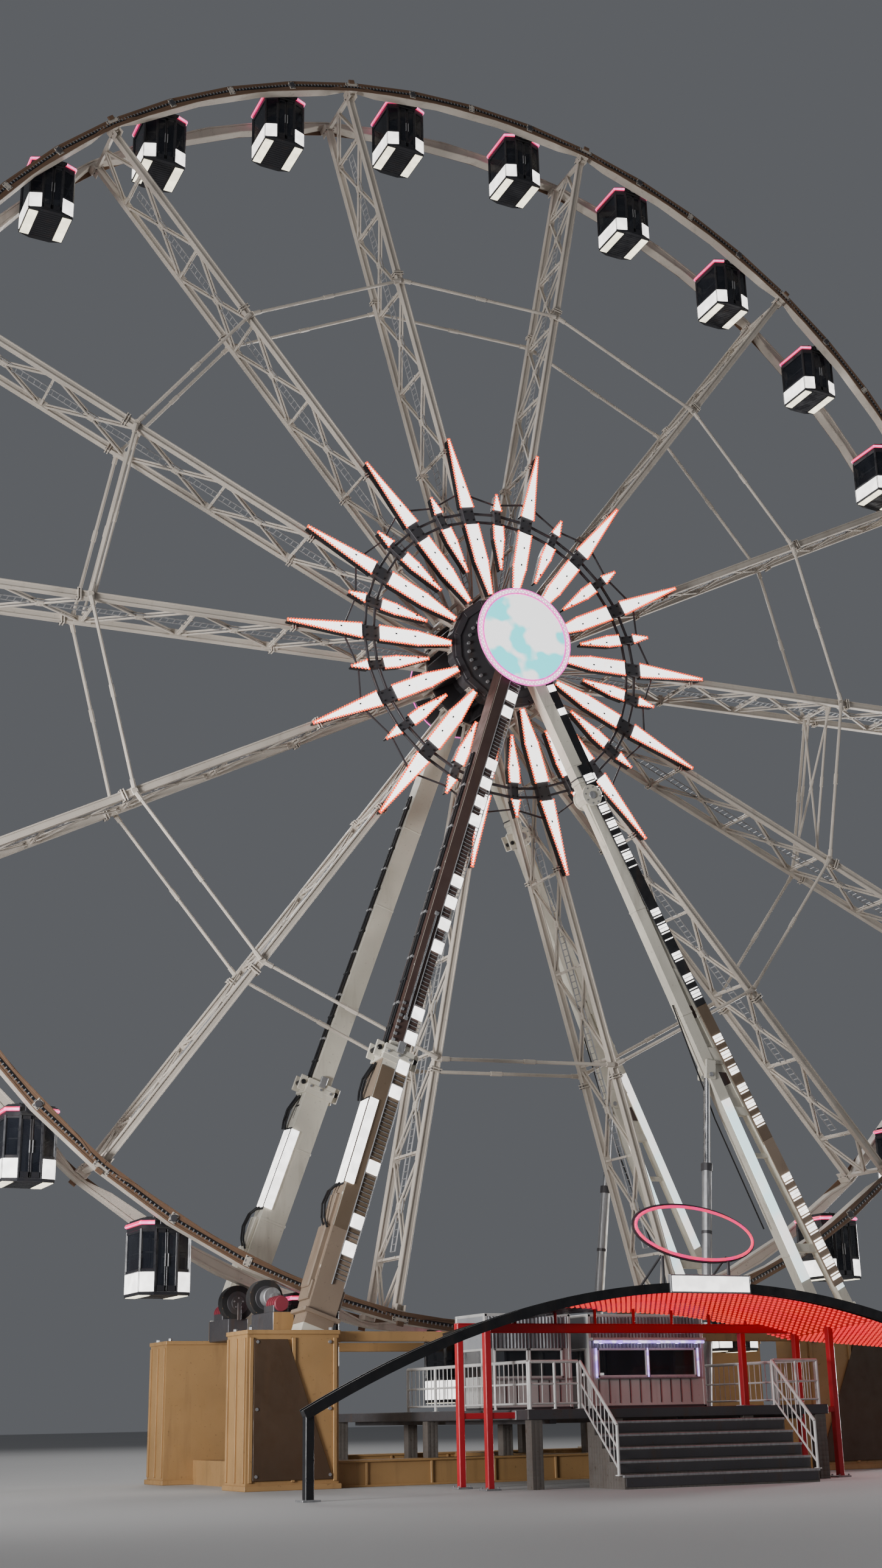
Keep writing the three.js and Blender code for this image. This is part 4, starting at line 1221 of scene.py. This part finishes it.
    def lamp_ladder(self, line, side):
        """Square lamps on a gridded strip down the right edge of the front face."""
        u, v, pitch = -0.10, -0.170, 0.06
        for start, end, lift in ((0.075, 0.640, 0.0), (0.656, 0.945, 0.020)):
            for edge in (-0.5, 0.5):
                line.span(start, end, u + edge * (side + 0.01), v - lift, 0.010, 0.024, 2, 0.002)
            for index in range(int((end - start) * line.reach / pitch)):
                line.part(start, u, v - lift, (side, 0.012, 0.007), 2, 0.0, index * pitch)
        for share in self.squares:
            lift = 0.0 if share < self.collar_share else 0.020
            line.part(share, u, v - lift - 0.008, (side, 0.022, side + 0.01), 0, 0.008)

    def right_leg(self, depth, side_y):
        """Knuckle, bands, plates, prop and lamps of a leg with two prongs, with glowing plates of painted
        light on the prongs.
        """
        front = side_y < 0
        top = self.point(1, side_y, 0)
        knuckle = self.point(1, side_y, self.knuckle_share, self.knuckle_x)
        feet = [knuckle.lerp(self.point(1, side_y, 1.06, foot_x), 0.927) for foot_x in self.prong_feet_x]
        arm = LegLine(top, knuckle)
        piece = begin(f"leg_{depth}_right_fittings", "ivory", "grey", "galvanised", "chrome", "black",
                      "umber")
        self.knuckle(knuckle, arm, side_y)
        for share in (0.42, 0.80):
            arm.part(share, 0, 0, (0.202, 0.202, 0.03))
        for foot, wide in zip(feet, self.prong_widths):
            line = LegLine(knuckle, foot)
            for share in (0.22, 0.42, 0.86):
                line.part(share, 0, 0, (wide + 0.014, wide + 0.014, 0.035))
            line.part(0.985, 0, 0, (wide + 0.13, wide + 0.15, 0.05), 0, 0.008)
            for u in (-1, 1):
                line.part(0.962, u * (wide / 2 + 0.016), 0, (0.035, 0.17, 0.20), 0, 0.008)
        self.cross_plates(knuckle, feet)
        self.prop(knuckle, feet[0], side_y)
        start, end = self.point(1, side_y, 0.545, 4.02), self.point(1, side_y, 0.86, 3.92)
        chain([start, start.lerp(end, 0.5) + Vector((-0.05, 0, -0.05)), end], 0.011, 4, 6)
        hang_up(settle(piece, 30), GROUND, "leg_paint")
        lights = begin(f"leg_{depth}_right_lights", "lamp", "black", "painted_floodlight", "tray", "tan")
        if front:
            self.lamp_strip()
            self.arm_lamps(arm)
        # Glowing plates that paint the floodlight falling on the prongs; they are not lamps.
        self.painted_floodlit_faces(knuckle, feet, front)
        hang_up(settle(lights), GROUND, "light_panel")

    def down(self, knuckle, foot, share):
        """The point of a prong at a share of the whole leg's height."""
        return knuckle.lerp(foot, (share - self.knuckle_share) / (1 - self.knuckle_share))

    def knuckle(self, middle, arm, side_y):
        """Round cheeks, the pin between them and a lug with its own pin at one side."""
        for v in (-0.132, 0.132):
            cheek = middle + Vector((0, v, 0))
            through(cheek, 0.014, 0.165, 0, 32, 0.005)
            through(cheek, 0.030, 0.058, 2, 24, 0.005)
            for index in range(8):
                through(cheek + on_wheel(0.125, index * math.pi / 4), 0.022, 0.012, 2, 6)
        u = side_y * 0.17
        for v in (-0.075, 0.075):
            arm.part(1, u, v, (0.16, 0.028, 0.24), 0, 0.010, 0.02)
        arm.pin(1, 0.04, u * 1.15, 0.115, 0.032, 4)
        arm.part(1, 0, 0, (0.215, 0.215, 0.05), 0, 0.008, -0.25)
        arm.part(1, 0, 0, (0.206, 0.206, 0.02), 1, 0.004, -0.31)

    def cross_plates(self, knuckle, feet):
        """Plates between the prongs, with pockets left open between them."""
        for share, tall, deep, finish, bevel in (
            (0.500, 0.18, 0.15, 0, 0.008), (0.617, 0.24, 0.16, 0, 0.008), (0.695, 0.12, 0.16, 0, 0.008),
            (0.757, 0.06, 0.10, 0, 0.008), (0.885, 0.12, 0.13, 0, 0.008),
            (0.560, 0.30, 0.114, 5, 0.004), (0.655, 0.30, 0.114, 5, 0.004),
        ):
            bar(*[self.down(knuckle, foot, share) for foot in feet], tall, deep, finish, bevel)

    def prop(self, knuckle, inner_foot, side_y):
        """The cylinder that props the inner prong off the base."""
        foot = Vector((2.12, side_y * (self.top_y + self.splay), 0.3003))
        line = LegLine(self.down(knuckle, inner_foot, 0.632), foot)
        for v in (-0.10, 0.10):
            line.part(0, 0, v, (0.17, 0.030, 0.28), 0, 0.010, 0.06)
            line.part(1, 0, v, (0.15, 0.026, 0.20), 0, 0.008, -0.13)
        line.pin(0, 0.14, 0, 0.13, 0.034, 2)
        rod(line.spot(0, 0, 0, 0.18), line.spot(0.272, 0, 0), 0.050, 3, 12)
        line.tube(0.270, 0.290, 0, 0, 0.082, 1)
        line.tube(0.280, 0.95, 0, 0, 0.067, 2)
        for share in (0.45, 0.68, 0.90):
            line.tube(share, share + 0.008, 0, 0, 0.074, 1)
        block((0.24, 0.24, 0.03), foot + Vector((0, 0, 0.015)), 0, 0.006)

    def lamp_strip(self):
        """Square lamps and short bright bars on a tray down the front leg's outer edge."""
        line = LegLine(*[self.point(1, -1, share, self.strip_x) for share in (0, 1)])
        for start, end, finish in self.strip_trays:
            line.span(start, end, 0, -0.112, 0.19, 0.018, finish)
        pitch = 0.052
        for start, end in self.lit_spans:
            for index in range(int((end - start) * line.reach / pitch)):
                shift = (index + 0.5) * pitch
                if index % 5 in (0, 1):
                    line.part(start, 0, -0.128, (0.150, 0.014, pitch - 0.008), 0, 0.0, shift)
                elif index % 5 in (2, 4):
                    line.part(start, 0, -0.126, (0.150, 0.012, 0.016), 0, 0.0, shift)

    def arm_lamps(self, arm):
        """A dark tray with three lamps down the outer edge of the upper arm."""
        arm.span(0.10, 0.93, -0.165, -0.085, 0.15, 0.020, 1, 0.003)
        for share in (0.33, 0.48, 0.90):
            arm.part(share, -0.165, -0.102, (0.13, 0.014, 0.11))

    def painted_floodlit_faces(self, knuckle, feet, front):
        """Glowing plates on the prongs: painted light standing in for the light that the lamps beside them
        cast on these faces.
        """
        spans = ((0.68, 0.93), (0.74, 0.94)) if front else ((0.70, 0.93), (0.60, 0.86))
        for foot, wide, span in zip(feet, self.prong_widths, spans):
            lift = Vector((0, -wide / 2 - 0.006, 0))
            bar(*[self.down(knuckle, foot, share) + lift for share in span], wide - 0.016, 0.012, 2, 0.003)


class WHEEL_OT_base(WheelStep):
    """Adds covers, flanges, beams, tyres and motors to the base frame"""

    bl_idname = "wheel.base"
    bl_label = "Base"

    left = (-4.50, -3.33)
    right = (3.62, 5.05)
    middle_y = 1.55
    stiffeners = 8
    tyre_circle = 10.311
    tyre_angle = 21.5
    tyre_radius = 0.2258

    def make(self, sizes):
        refinish("base_frame", "ochre")
        piece = begin("base_fittings", "ochre", "brown", "galvanised")
        for side_y in (-1, 1):
            for low, high in (self.left, self.right):
                self.pedestal(low, high, side_y)
            self.sill(side_y)
            self.upper_beam(side_y)
        hang_up(settle(piece), GROUND, "base_paint")
        drives = begin("rim_drives", "rubber", "grey", "galvanised", "dull_red")
        for side_x in (-1, 1):
            for side_y in (-1, 1):
                self.drive(side_x, side_y)
        hang_up(settle(drives, 30), GROUND, "hub_steel")

    def sill(self, side_y):
        """Stiffeners and flanges on a sill."""
        low, high = self.left[1], self.right[0]
        y = side_y * self.middle_y
        for index in range(self.stiffeners):
            x = low + (index + 0.5) * (high - low) / self.stiffeners
            for edge in (-0.19, 0.19):
                block((0.03, 0.02, 0.26), (x, y + edge, 0.15), 0, 0.004)
        for z in (0.292, 0.012):
            block((high - low, 0.42, 0.024), ((low + high) / 2, y, z), 0, 0.004)

    def upper_beam(self, side_y):
        """A beam that ties the tops of two pedestals."""
        low, high = self.left[1] - 0.02, self.right[0] + 0.02
        y = side_y * (self.middle_y + 0.15)
        corners((low, y - 0.05, 1.67), (high, y + 0.05, 1.79), 0, 0.008)
        for x in (low + 0.06, (low + high) / 2, high - 0.06):
            corners((x - 0.05, y - 0.062, 1.66), (x + 0.05, y + 0.062, 1.80), 0, 0.004)

    def pedestal(self, low, high, side_y):
        """Flanges, ribs, a dark sheet of painted shadow over the front face, and bolts on one pedestal."""
        middle, wide = (low + high) / 2, high - low
        block((wide + 0.03, 0.74, 0.05), (middle, side_y * self.middle_y, 1.772), 0, 0.006)
        block((wide + 0.05, 0.78, 0.06), (middle, side_y * self.middle_y, 0.03), 0, 0.006)
        front = side_y * 1.90
        way = 1 if middle > 0 else -1
        outer = high if middle > 0 else low
        for x in (low + 0.05, middle, high - 0.05):
            block((0.045, 0.024, 1.62), (x, front + side_y * 0.010, 0.90), 0, 0.004)
        for y in (1.26, 1.55, 1.84):
            block((0.024, 0.045, 1.62), (outer + way * 0.010, side_y * y, 0.90), 0, 0.004)
        # A dark brown sheet, narrowed at the top towards the outer side, paints the shadow on the pedestal's
        # front face.
        block((wide - 0.16, 0.028, 1.58), (middle, front + side_y * 0.012, 0.90), 1, 0.006)
        pinch((0, 0, 1), (0.42, 1, 1), (outer - way * 0.08, front, 1.69))
        for x in (low + 0.12, high - 0.12):
            for z in (0.16, 0.9, 1.66):
                stud((x, front, z), (0, side_y * 0.034, 0), 0.020, 2)
        for x in (-0.44, 0.44):
            for y in (-0.27, 0.27):
                spot = (middle + x * wide, side_y * self.middle_y + y, 1.795)
                stud(spot, (0, 0, 0.035), 0.028, 2)

    def drive(self, side_x, side_y):
        """A rim drive's tyre, its shaft and brake, and the motor and cover below them."""
        radius, angle = self.tyre_circle, math.radians(self.tyre_angle)
        middle = Vector((side_x * radius * math.sin(angle), side_y * 0.53, HUB.z - radius * math.cos(angle)))
        through(middle, 0.077, self.tyre_radius, 0, 40, 0.006)
        through(middle, 0.083, 0.150, 1, 32, 0.004)
        through(middle, 0.10, 0.095, 1, 20, 0.006)
        for index in range(5):
            through(middle + on_wheel(0.062, index * 2 * math.pi / 5), 0.108, 0.012, 2, 6)
        out = Vector((0, side_y, 0))
        rod(middle + out * 0.10, middle + out * 0.38, 0.045, 2, 12)
        rod(middle + out * 0.14, middle + out * 0.30, 0.120, 2, 24, 0.01)
        low = middle - Vector((0, 0, 0.10))
        rod(low + out * 0.30, low + out * 0.62, 0.095, 3, 24, 0.01)
        for index in range(4):
            stud(low + out * (0.35 + index * 0.07), out * 0.015, 0.103, 3, 24)
        block((0.20, 0.34, 0.16), middle + out * 0.42 - Vector((0, 0, 0.19)), 1, 0.008)
        block((0.272, 0.77, 0.272), (middle.x, side_y * 0.82, middle.z - 0.335), 1, 0.008)
        for y in (-0.13, 0.12):
            block((0.05, 0.03, 0.22), middle + Vector((0, y, -0.11)), 1, 0.004)


class WHEEL_OT_deck(WheelStep):
    """Adds the deck's edge trim, nosings and railings"""

    bl_idname = "wheel.deck"
    bl_label = "Deck"

    top = 0.83
    front = -4.3
    middle_y = -1.475
    rail_y = -4.24
    steps = 5
    tread = 0.15

    def make(self, sizes):
        refinish("platform", "tread")
        piece = begin("deck_trim", "galvanised", "grey")
        for x in (-2.05, 2.05):
            block((0.03, 5.66, 0.11), (x, self.middle_y, 0.785), 1, 0.006)
        for y in (self.front, 1.35):
            block((4.12, 0.03, 0.11), (0, y, 0.785), 1, 0.006)
        for step in range(self.steps):
            top = self.top / (self.steps + 1) * (step + 1)
            nosing = self.front - (self.steps - step) * self.tread
            block((2.62, 0.035, 0.03), (0, nosing + 0.012, top - 0.006), 0, 0.005)
            block((2.56, 0.008, 0.09), (0, nosing - 0.002, top - 0.07), 1, 0.002)
        for x in (-1.7, -0.85, 0.0, 0.85, 1.7):
            block((0.09, 5.5, 0.06), (x, self.middle_y, 0.712), 1, 0.005)
        hang_up(settle(piece), GROUND, "deck_plate")
        rails = begin("railings", "white")
        for side in (-1, 1):
            self.railing([(side * 1.99, y, self.top) for y in (-4.2, -3.4, -2.6, -1.8, -1.0)])
            self.railing([(side * x, self.rail_y, self.top) for x in (1.36, 1.67, 1.99)])
            self.railing([(side * 1.33, self.rail_y, self.top), (side * 1.33, -4.99, 0.138)])
        hang_up(settle(rails, 30), GROUND, "deck_plate")

    def railing(self, feet):
        """Posts on the given points with a top rail, a knee rail and thin uprights."""
        feet = [Vector(foot) for foot in feet]
        for foot in feet:
            stud(foot, (0, 0, 0.52), 0.018, 0, 10)
            stud(foot, (0, 0, 0.012), 0.042, 0, 12)
        for first, second in zip(feet, feet[1:]):
            for height, radius in ((0.52, 0.019), (0.28, 0.012), (0.07, 0.012)):
                lift = Vector((0, 0, height))
                rod(first + lift, second + lift, radius, 0, 10)
            count = max(int((second - first).length / 0.11), 2)
            for index in range(1, count):
                stud(first.lerp(second, index / count) + Vector((0, 0, 0.07)), (0, 0, 0.44), 0.006)


class WHEEL_OT_canopy(WheelStep):
    """Builds the arched canopy with its wing, lamps, posts, beam and bare signs"""

    bl_idname = "wheel.canopy"
    bl_label = "Canopy"

    half_span = 2.48
    crown = 2.19
    drop = 0.323
    wing_end = 4.10
    wing_slope = 0.06
    tilt = 0.08
    skin = 0.06
    lit_from = (-2.42, -0.20)
    front = -5.0
    back = -3.0
    arch_half = 5.0
    arch_parts = 44
    arch_y = -4.945
    arch_post_x = 4.945
    strut_x = (3.40, 4.06)
    strut_back = -4.35
    post_x = 2.40
    beam_y = -3.3
    beam_low = 1.70
    upright_x = (-1.65, -1.1, -0.55, 0.0, 0.55, 1.1, 1.65)

    def height(self, x):
        """The arch's line."""
        return self.crown - self.drop * (x / self.half_span) ** 2

    def roof(self, x):
        """The roof's line, which leaves the arch at its right and runs on as the wing."""
        beyond = max(x - self.half_span, 0.0)
        return self.height(x - beyond) - self.wing_slope * beyond

    def under(self, x, y):
        """The roof's underside, which falls a little towards the back."""
        return self.roof(x) - self.skin - self.tilt * (y - self.front)

    def lit_depth(self, x):
        """How far back the lit part of the underside runs."""
        start, full = self.lit_from
        return (self.back - self.front) * min(max((x - start) / (full - start), 0.03), 1.0)

    def make(self, sizes):
        piece = begin("canopy_frame", "black", "red", "lamp", "galvanised", "grey", "lamp_underside",
                      "lamp_crimson")
        self.roof_strips()
        self.arch()
        self.wing_struts()
        self.posts()
        self.sign()
        self.oval()
        settle(piece, 30)
        hang_up(piece, GROUND, "canopy_paint", "canopy")
        self.dots(sizes)

    def roof_strips(self):
        """The roof in strips: a dark skin, with a lit or a dark face below it."""
        stations = [self.half_span * (index / 12 - 1) for index in range(25)]
        wing = self.wing_end - self.half_span
        stations += [self.half_span + wing * (index + 1) / 4 for index in range(4)]
        for near, far in zip(stations, stations[1:]):
            x = (near + far) / 2
            slope = math.atan((self.roof(near) - self.roof(far)) / (far - near))
            wide = (far - near) / math.cos(slope) + 0.004
            lit = self.front + self.lit_depth(x)
            self.board(x, wide, slope, self.front, self.back, 0.045, 0)
            self.board(x, wide, slope, self.front, lit, 0.015, 5)
            if lit < self.back - 0.01:
                self.board(x, wide, slope, lit, self.back, 0.015, 0)

    def board(self, x, wide, slope, near, far, lift, finish):
        """A slab of the roof from one depth to another, rolled to the arch and tilted back."""
        y = (near + far) / 2
        size = (wide, (far - near) / math.cos(self.tilt), 0.030)
        block(size, (x, y, self.under(x, y) + lift), finish, 0, (-self.tilt, slope, 0))

    def arch(self):
        """The fascia along the front edge, which runs on to a post on each side."""
        for index in range(self.arch_parts):
            xs = [self.arch_half * (2 * (index + step) / self.arch_parts - 1) for step in (0, 1)]
            for shift, thick, tall in ((0, 0.10, 0.084), (-0.05, 0.018, 0.104), (0.05, 0.018, 0.104)):
                y = self.arch_y + shift
                bar(*[Vector((x, y, self.height(x) - 0.052)) for x in xs], tall, thick, 0)
        for side in (-1, 1):
            x = side * self.arch_post_x
            top = self.height(self.arch_half) - 0.05
            corners((x - 0.048, -4.993, 0.0), (x + 0.048, -4.897, top), 0, 0.008)
            block((0.20, 0.20, 0.02), (x, self.arch_y, 0.01), 3, 0.004)

    def wing_struts(self):
        """Short uprights that carry the wing off the arch."""
        for x in self.strut_x:
            low, high = self.height(x) - 0.05, self.roof(x) - 0.04
            corners((x - 0.03, -4.99, low), (x + 0.03, -4.90, high), 4, 0.005)
            block((0.10, 0.12, 0.012), (x, self.arch_y, high - 0.02), 3, 0.003)
        inner, outer = self.strut_x
        bar((inner + 0.02, self.arch_y, self.height(inner) + 0.02),
            (outer - 0.03, self.arch_y, self.roof(outer) - 0.06), 0.03, 0.03, 4, 0.003)

    def posts(self):
        """Red posts with their feet and ties, the beam across them and its uprights."""
        for side in (-1, 1):
            for y in (self.beam_y, -4.0):
                x = side * self.post_x
                top = self.under(x, y) + 0.02
                corners((x - 0.04, y - 0.04, 0.0), (x + 0.04, y + 0.04, top), 1, 0.008)
                block((0.19, 0.19, 0.018), (x, y, 0.009), 3, 0.004)
                for dx in (-0.07, 0.07):
                    for dy in (-0.07, 0.07):
                        stud((x + dx, y + dy, 0.012), (0, 0, 0.022), 0.012, 3)
                near, far = sorted((side * 2.068, side * 2.37))
                corners((near, y - 0.033, 0.747), (far, y + 0.033, 0.813), 1, 0.005)
                block((0.012, 0.11, 0.10), (side * 2.072, y, 0.78), 3, 0.003)
        low = self.beam_low
        corners((-2.44, -3.345, low), (2.44, -3.255, low + 0.11), 1, 0.008)
        for z in (low + 0.008, low + 0.102):
            block((4.86, 0.10, 0.014), (0, self.beam_y, z), 1, 0.004)
        for x in self.upright_x:
            high = self.under(x, self.beam_y) + 0.02
            block((0.03, 0.03, high - low - 0.10), (x, self.beam_y, (high + low + 0.10) / 2), 1, 0.004)
        corners((1.53, -3.34, 0.8303), (1.61, -3.26, low + 0.01), 1, 0.008)
        block((0.17, 0.17, 0.016), (1.57, self.beam_y, 0.839), 3, 0.004)

    def sign(self):
        """A lit panel with nothing on it."""
        low = 2.065
        corners((-0.55, -5.03, low), (0.55, -4.97, low + 0.205), 3, 0.006)
        corners((-0.53, -5.034, low + 0.016), (0.53, -5.026, low + 0.189), 2, 0.003)

    def oval(self):
        """A bare oval frame with a light tube, on two struts above the sign."""
        middle = Vector((-0.13, self.arch_y, 2.74))
        for across, up, y, radius, finish in ((0.80, 0.285, -0.012, 0.017, 6), (0.83, 0.310, 0.02, 0.015, 4)):
            points = []
            for index in range(49):
                turn = index * math.pi / 24
                x = across * math.cos(turn)
                points.append(middle + Vector((x, y, up * math.sin(turn) - 0.10 * x)))
            chain(points, radius, finish)
        for x in (middle.x - 0.45, middle.x + 0.45):
            head = middle.z - 0.26
            rod((x, -4.93, self.height(x) - 0.03), (x, -4.93, head), 0.020, 4)
            back = self.under(x, self.strut_back) + self.skin
            rod((x, -4.90, head), (x, self.strut_back, back), 0.014, 4)

    def dots(self, sizes):
        """Rows of small red lamps under the roof, one column copied across."""
        pitch = (self.back - self.front - 0.26) / (sizes.dot_rows - 1)
        columns, copies = {}, []
        across = 2 * self.half_span / sizes.dot_columns
        for index in range(int((self.wing_end + self.half_span) / across)):
            x = (index + 0.5) * across - self.half_span
            slope = math.atan(self.wing_slope)
            if x < self.half_span:
                slope = math.atan(2 * self.drop * x / self.half_span ** 2)
            rows = int((self.lit_depth(x) - 0.13) / pitch) + 1
            if rows < 1:
                continue
            if rows not in columns:
                columns[rows] = self.dot_column(rows, pitch)
            place = Matrix.Translation((x, self.front, self.under(x, self.front)))
            turn = Matrix.Rotation(slope, 4, "Y") @ Matrix.Rotation(-self.tilt, 4, "X")
            copies.append(twin(columns[rows], "canopy_dots", place @ turn))
        for column in columns.values():
            bpy.data.objects.remove(column)
        hang_up(join(copies, "canopy_dots"), GROUND, "light_panel")

    def dot_column(self, rows, pitch):
        """One column of lamps, drawn at the origin."""
        column = begin("dot_column", "lamp_red")
        for row in range(rows):
            block((0.030, pitch * 0.36, 0.014), (0, 0.13 + row * pitch, -0.006), 0, 0.005)
        return settle(column)


class WHEEL_OT_booths(WheelStep):
    """Builds the operator's booth and the ticket booth on the deck"""

    bl_idname = "wheel.booths"
    bl_label = "Booths"

    places = (("booth", -1.75, -0.55), ("ticket_booth", -0.30, 1.40))
    floor = 0.8303
    top = 1.96
    front = -2.7
    back = -1.9
    sill = 1.20
    head = 1.55
    doorway = (0.30, 0.70)

    def make(self, sizes):
        for name, x0, x1 in self.places:
            piece = begin(name + "_walls", "white", "sheet", "glass", "grey", "galvanised", "lamp_violet",
                          "lining")
            self.shell(x0, x1)
            self.windows(x0, x1)
            if name == "ticket_booth":
                self.awning(x0, x1)
            hang_up(settle(piece), GROUND, "booth_paint", name)

    def shell(self, x0, x1):
        """Floor, roof, corner posts and walls, with a doorway at the back and folds at the front."""
        y0, y1 = self.front, self.back
        corners((x0, y0, self.floor), (x1, y1, self.floor + 0.04), 3, 0.005)
        corners((x0, y0, self.top - 0.04), (x1, y1, self.top), 0, 0.008)
        corners((x0 + 0.005, y0 + 0.005, self.floor + 0.03), (x1 - 0.005, y0 + 0.035, self.sill), 0)
        corners((x0 + 0.005, y0 + 0.005, self.head), (x1 - 0.005, y0 + 0.035, self.top - 0.03), 1)
        for x in (x0 + 0.02, x1 - 0.02):
            corners((x - 0.015, y0 + 0.03, self.floor + 0.03), (x + 0.015, y1 - 0.03, self.sill), 0)
            corners((x - 0.015, y0 + 0.03, self.head), (x + 0.015, y1 - 0.03, self.top - 0.03), 1)
            for y in (y0 + 0.022, y1 - 0.022):
                block((0.044, 0.044, self.top - self.floor), (x, y, (self.top + self.floor) / 2), 0, 0.006)
        near, far = (x0 + edge for edge in self.doorway)
        for low, high, foot in (
            (x0 + 0.03, near, self.floor + 0.03), (far, x1 - 0.03, self.floor + 0.03), (near, far, 1.84),
        ):
            corners((low, y1 - 0.035, foot), (high, y1 - 0.005, self.top - 0.03))
        for x in (near, far):
            block((0.03, 0.05, 0.98), (x, y1 - 0.02, 1.35), 3, 0.004)
        for pitch, margin, thick, deep, low, high, finish, bevel in (
            (0.05, 0.07, 0.022, 0.012, self.head, self.top - 0.04, 1, 0.004),
            (0.15, 0.12, 0.008, 0.006, 0.90, self.sill - 0.02, 3, 0.0),
        ):
            for index in range(int((x1 - x0 - 0.1) / pitch)):
                spot = (x0 + margin + index * pitch, y0 + 0.002, (low + high) / 2)
                block((thick, deep, high - low), spot, finish, bevel)

    def windows(self, x0, x1):
        """Two panes in front and one at each side, with a counter and a ledge."""
        y0 = self.front
        middle = (x0 + x1) / 2
        for low, high in ((x0 + 0.12, middle), (middle, x1 - 0.12)):
            self.frame(low, high, y0 + 0.018)
            corners((low + 0.02, y0 + 0.016, self.sill), (high - 0.02, y0 + 0.022, self.head), 2)
        for low, high in ((x0 + 0.03, x0 + 0.12), (x1 - 0.12, x1 - 0.03)):
            corners((low, y0 + 0.005, self.sill), (high, y0 + 0.035, self.head), 0)
        for x in (x0 + 0.02, x1 - 0.02):
            corners((x - 0.003, y0 + 0.12, self.sill), (x + 0.003, self.back - 0.12, self.head), 2)
            for y in (y0 + 0.08, self.back - 0.08):
                corners((x - 0.015, y - 0.05, self.sill), (x + 0.015, y + 0.05, self.head), 0)
            for z in (self.sill + 0.012, self.head - 0.012):
                block((0.04, 0.60, 0.028), (x, (y0 + self.back) / 2, z), 0, 0.004)
        block((x1 - x0 - 0.16, 0.30, 0.03), (middle, y0 + 0.20, self.sill - 0.02), 6, 0.005)
        block((x1 - x0 - 0.20, 0.07, 0.02), (middle, y0 - 0.01, self.sill - 0.006), 4, 0.004)

    def frame(self, low, high, y):
        """A frame round one pane."""
        for x in (low + 0.014, high - 0.014):
            block((0.028, 0.046, self.head - self.sill), (x, y, (self.head + self.sill) / 2), 0, 0.004)
        for z in (self.sill + 0.014, self.head - 0.014):
            block((high - low, 0.046, 0.028), ((low + high) / 2, y, z), 0, 0.004)

    def awning(self, x0, x1):
        """A shallow hood with a line of light under its edge."""
        middle, wide = (x0 + x1) / 2, x1 - x0
        block((wide - 0.02, 0.10, 0.035), (middle, self.front - 0.03, 1.655), 0, 0.006)
        edge = self.front - 0.072
        rod((x0 + 0.04, edge, 1.620), (x1 - 0.04, edge, 1.620), 0.016, 5, 10)
        for x in (x0 + 0.10, middle, x1 - 0.10):
            spot = (x, self.front - 0.008, (self.head + self.sill) / 2)
            block((0.020, 0.012, self.head - self.sill), spot, 5, 0.004)
        for index in range(6):
            x = x0 + 0.15 + index * (wide - 0.3) / 5
            stud((x, self.front - 0.05, 1.600), (0, 0, 0.038), 0.022, 5, 12)


class WHEEL_PT_parts(bpy.types.Panel):
    """Lists the wheel's steps, sizes and colours"""

    bl_idname = "WHEEL_PT_parts"
    bl_label = "Observation wheel"
    bl_space_type = "VIEW_3D"
    bl_region_type = "UI"
    bl_category = "Wheel"

    def draw(self, context):
        for step in STEPS:
            self.layout.operator(step.bl_idname)
        for group in (context.scene.wheel_sizes, context.scene.wheel_colours):
            box = self.layout.box()
            for name in group.__annotations__:
                box.prop(group, name)


STEPS = (
    WHEEL_OT_stage, WHEEL_OT_spokes, WHEEL_OT_rims, WHEEL_OT_tie_rods, WHEEL_OT_hub,
    WHEEL_OT_star, WHEEL_OT_discs, WHEEL_OT_cabins, WHEEL_OT_legs, WHEEL_OT_base,
    WHEEL_OT_deck, WHEEL_OT_canopy, WHEEL_OT_booths,
)
GROUPS = (WheelSizes, WheelColours)


def register():
    for group in GROUPS + STEPS + (WHEEL_PT_parts,):
        bpy.utils.register_class(group)
    bpy.types.Scene.wheel_sizes = PointerProperty(type=WheelSizes)
    bpy.types.Scene.wheel_colours = PointerProperty(type=WheelColours)


def unregister():
    del bpy.types.Scene.wheel_colours
    del bpy.types.Scene.wheel_sizes
    for group in reversed(GROUPS + STEPS + (WHEEL_PT_parts,)):
        bpy.utils.unregister_class(group)


def main():
    register()
    for step in STEPS:
        group, name = step.bl_idname.split(".")
        getattr(getattr(bpy.ops, group), name)()


if __name__ == "__main__":
    main()
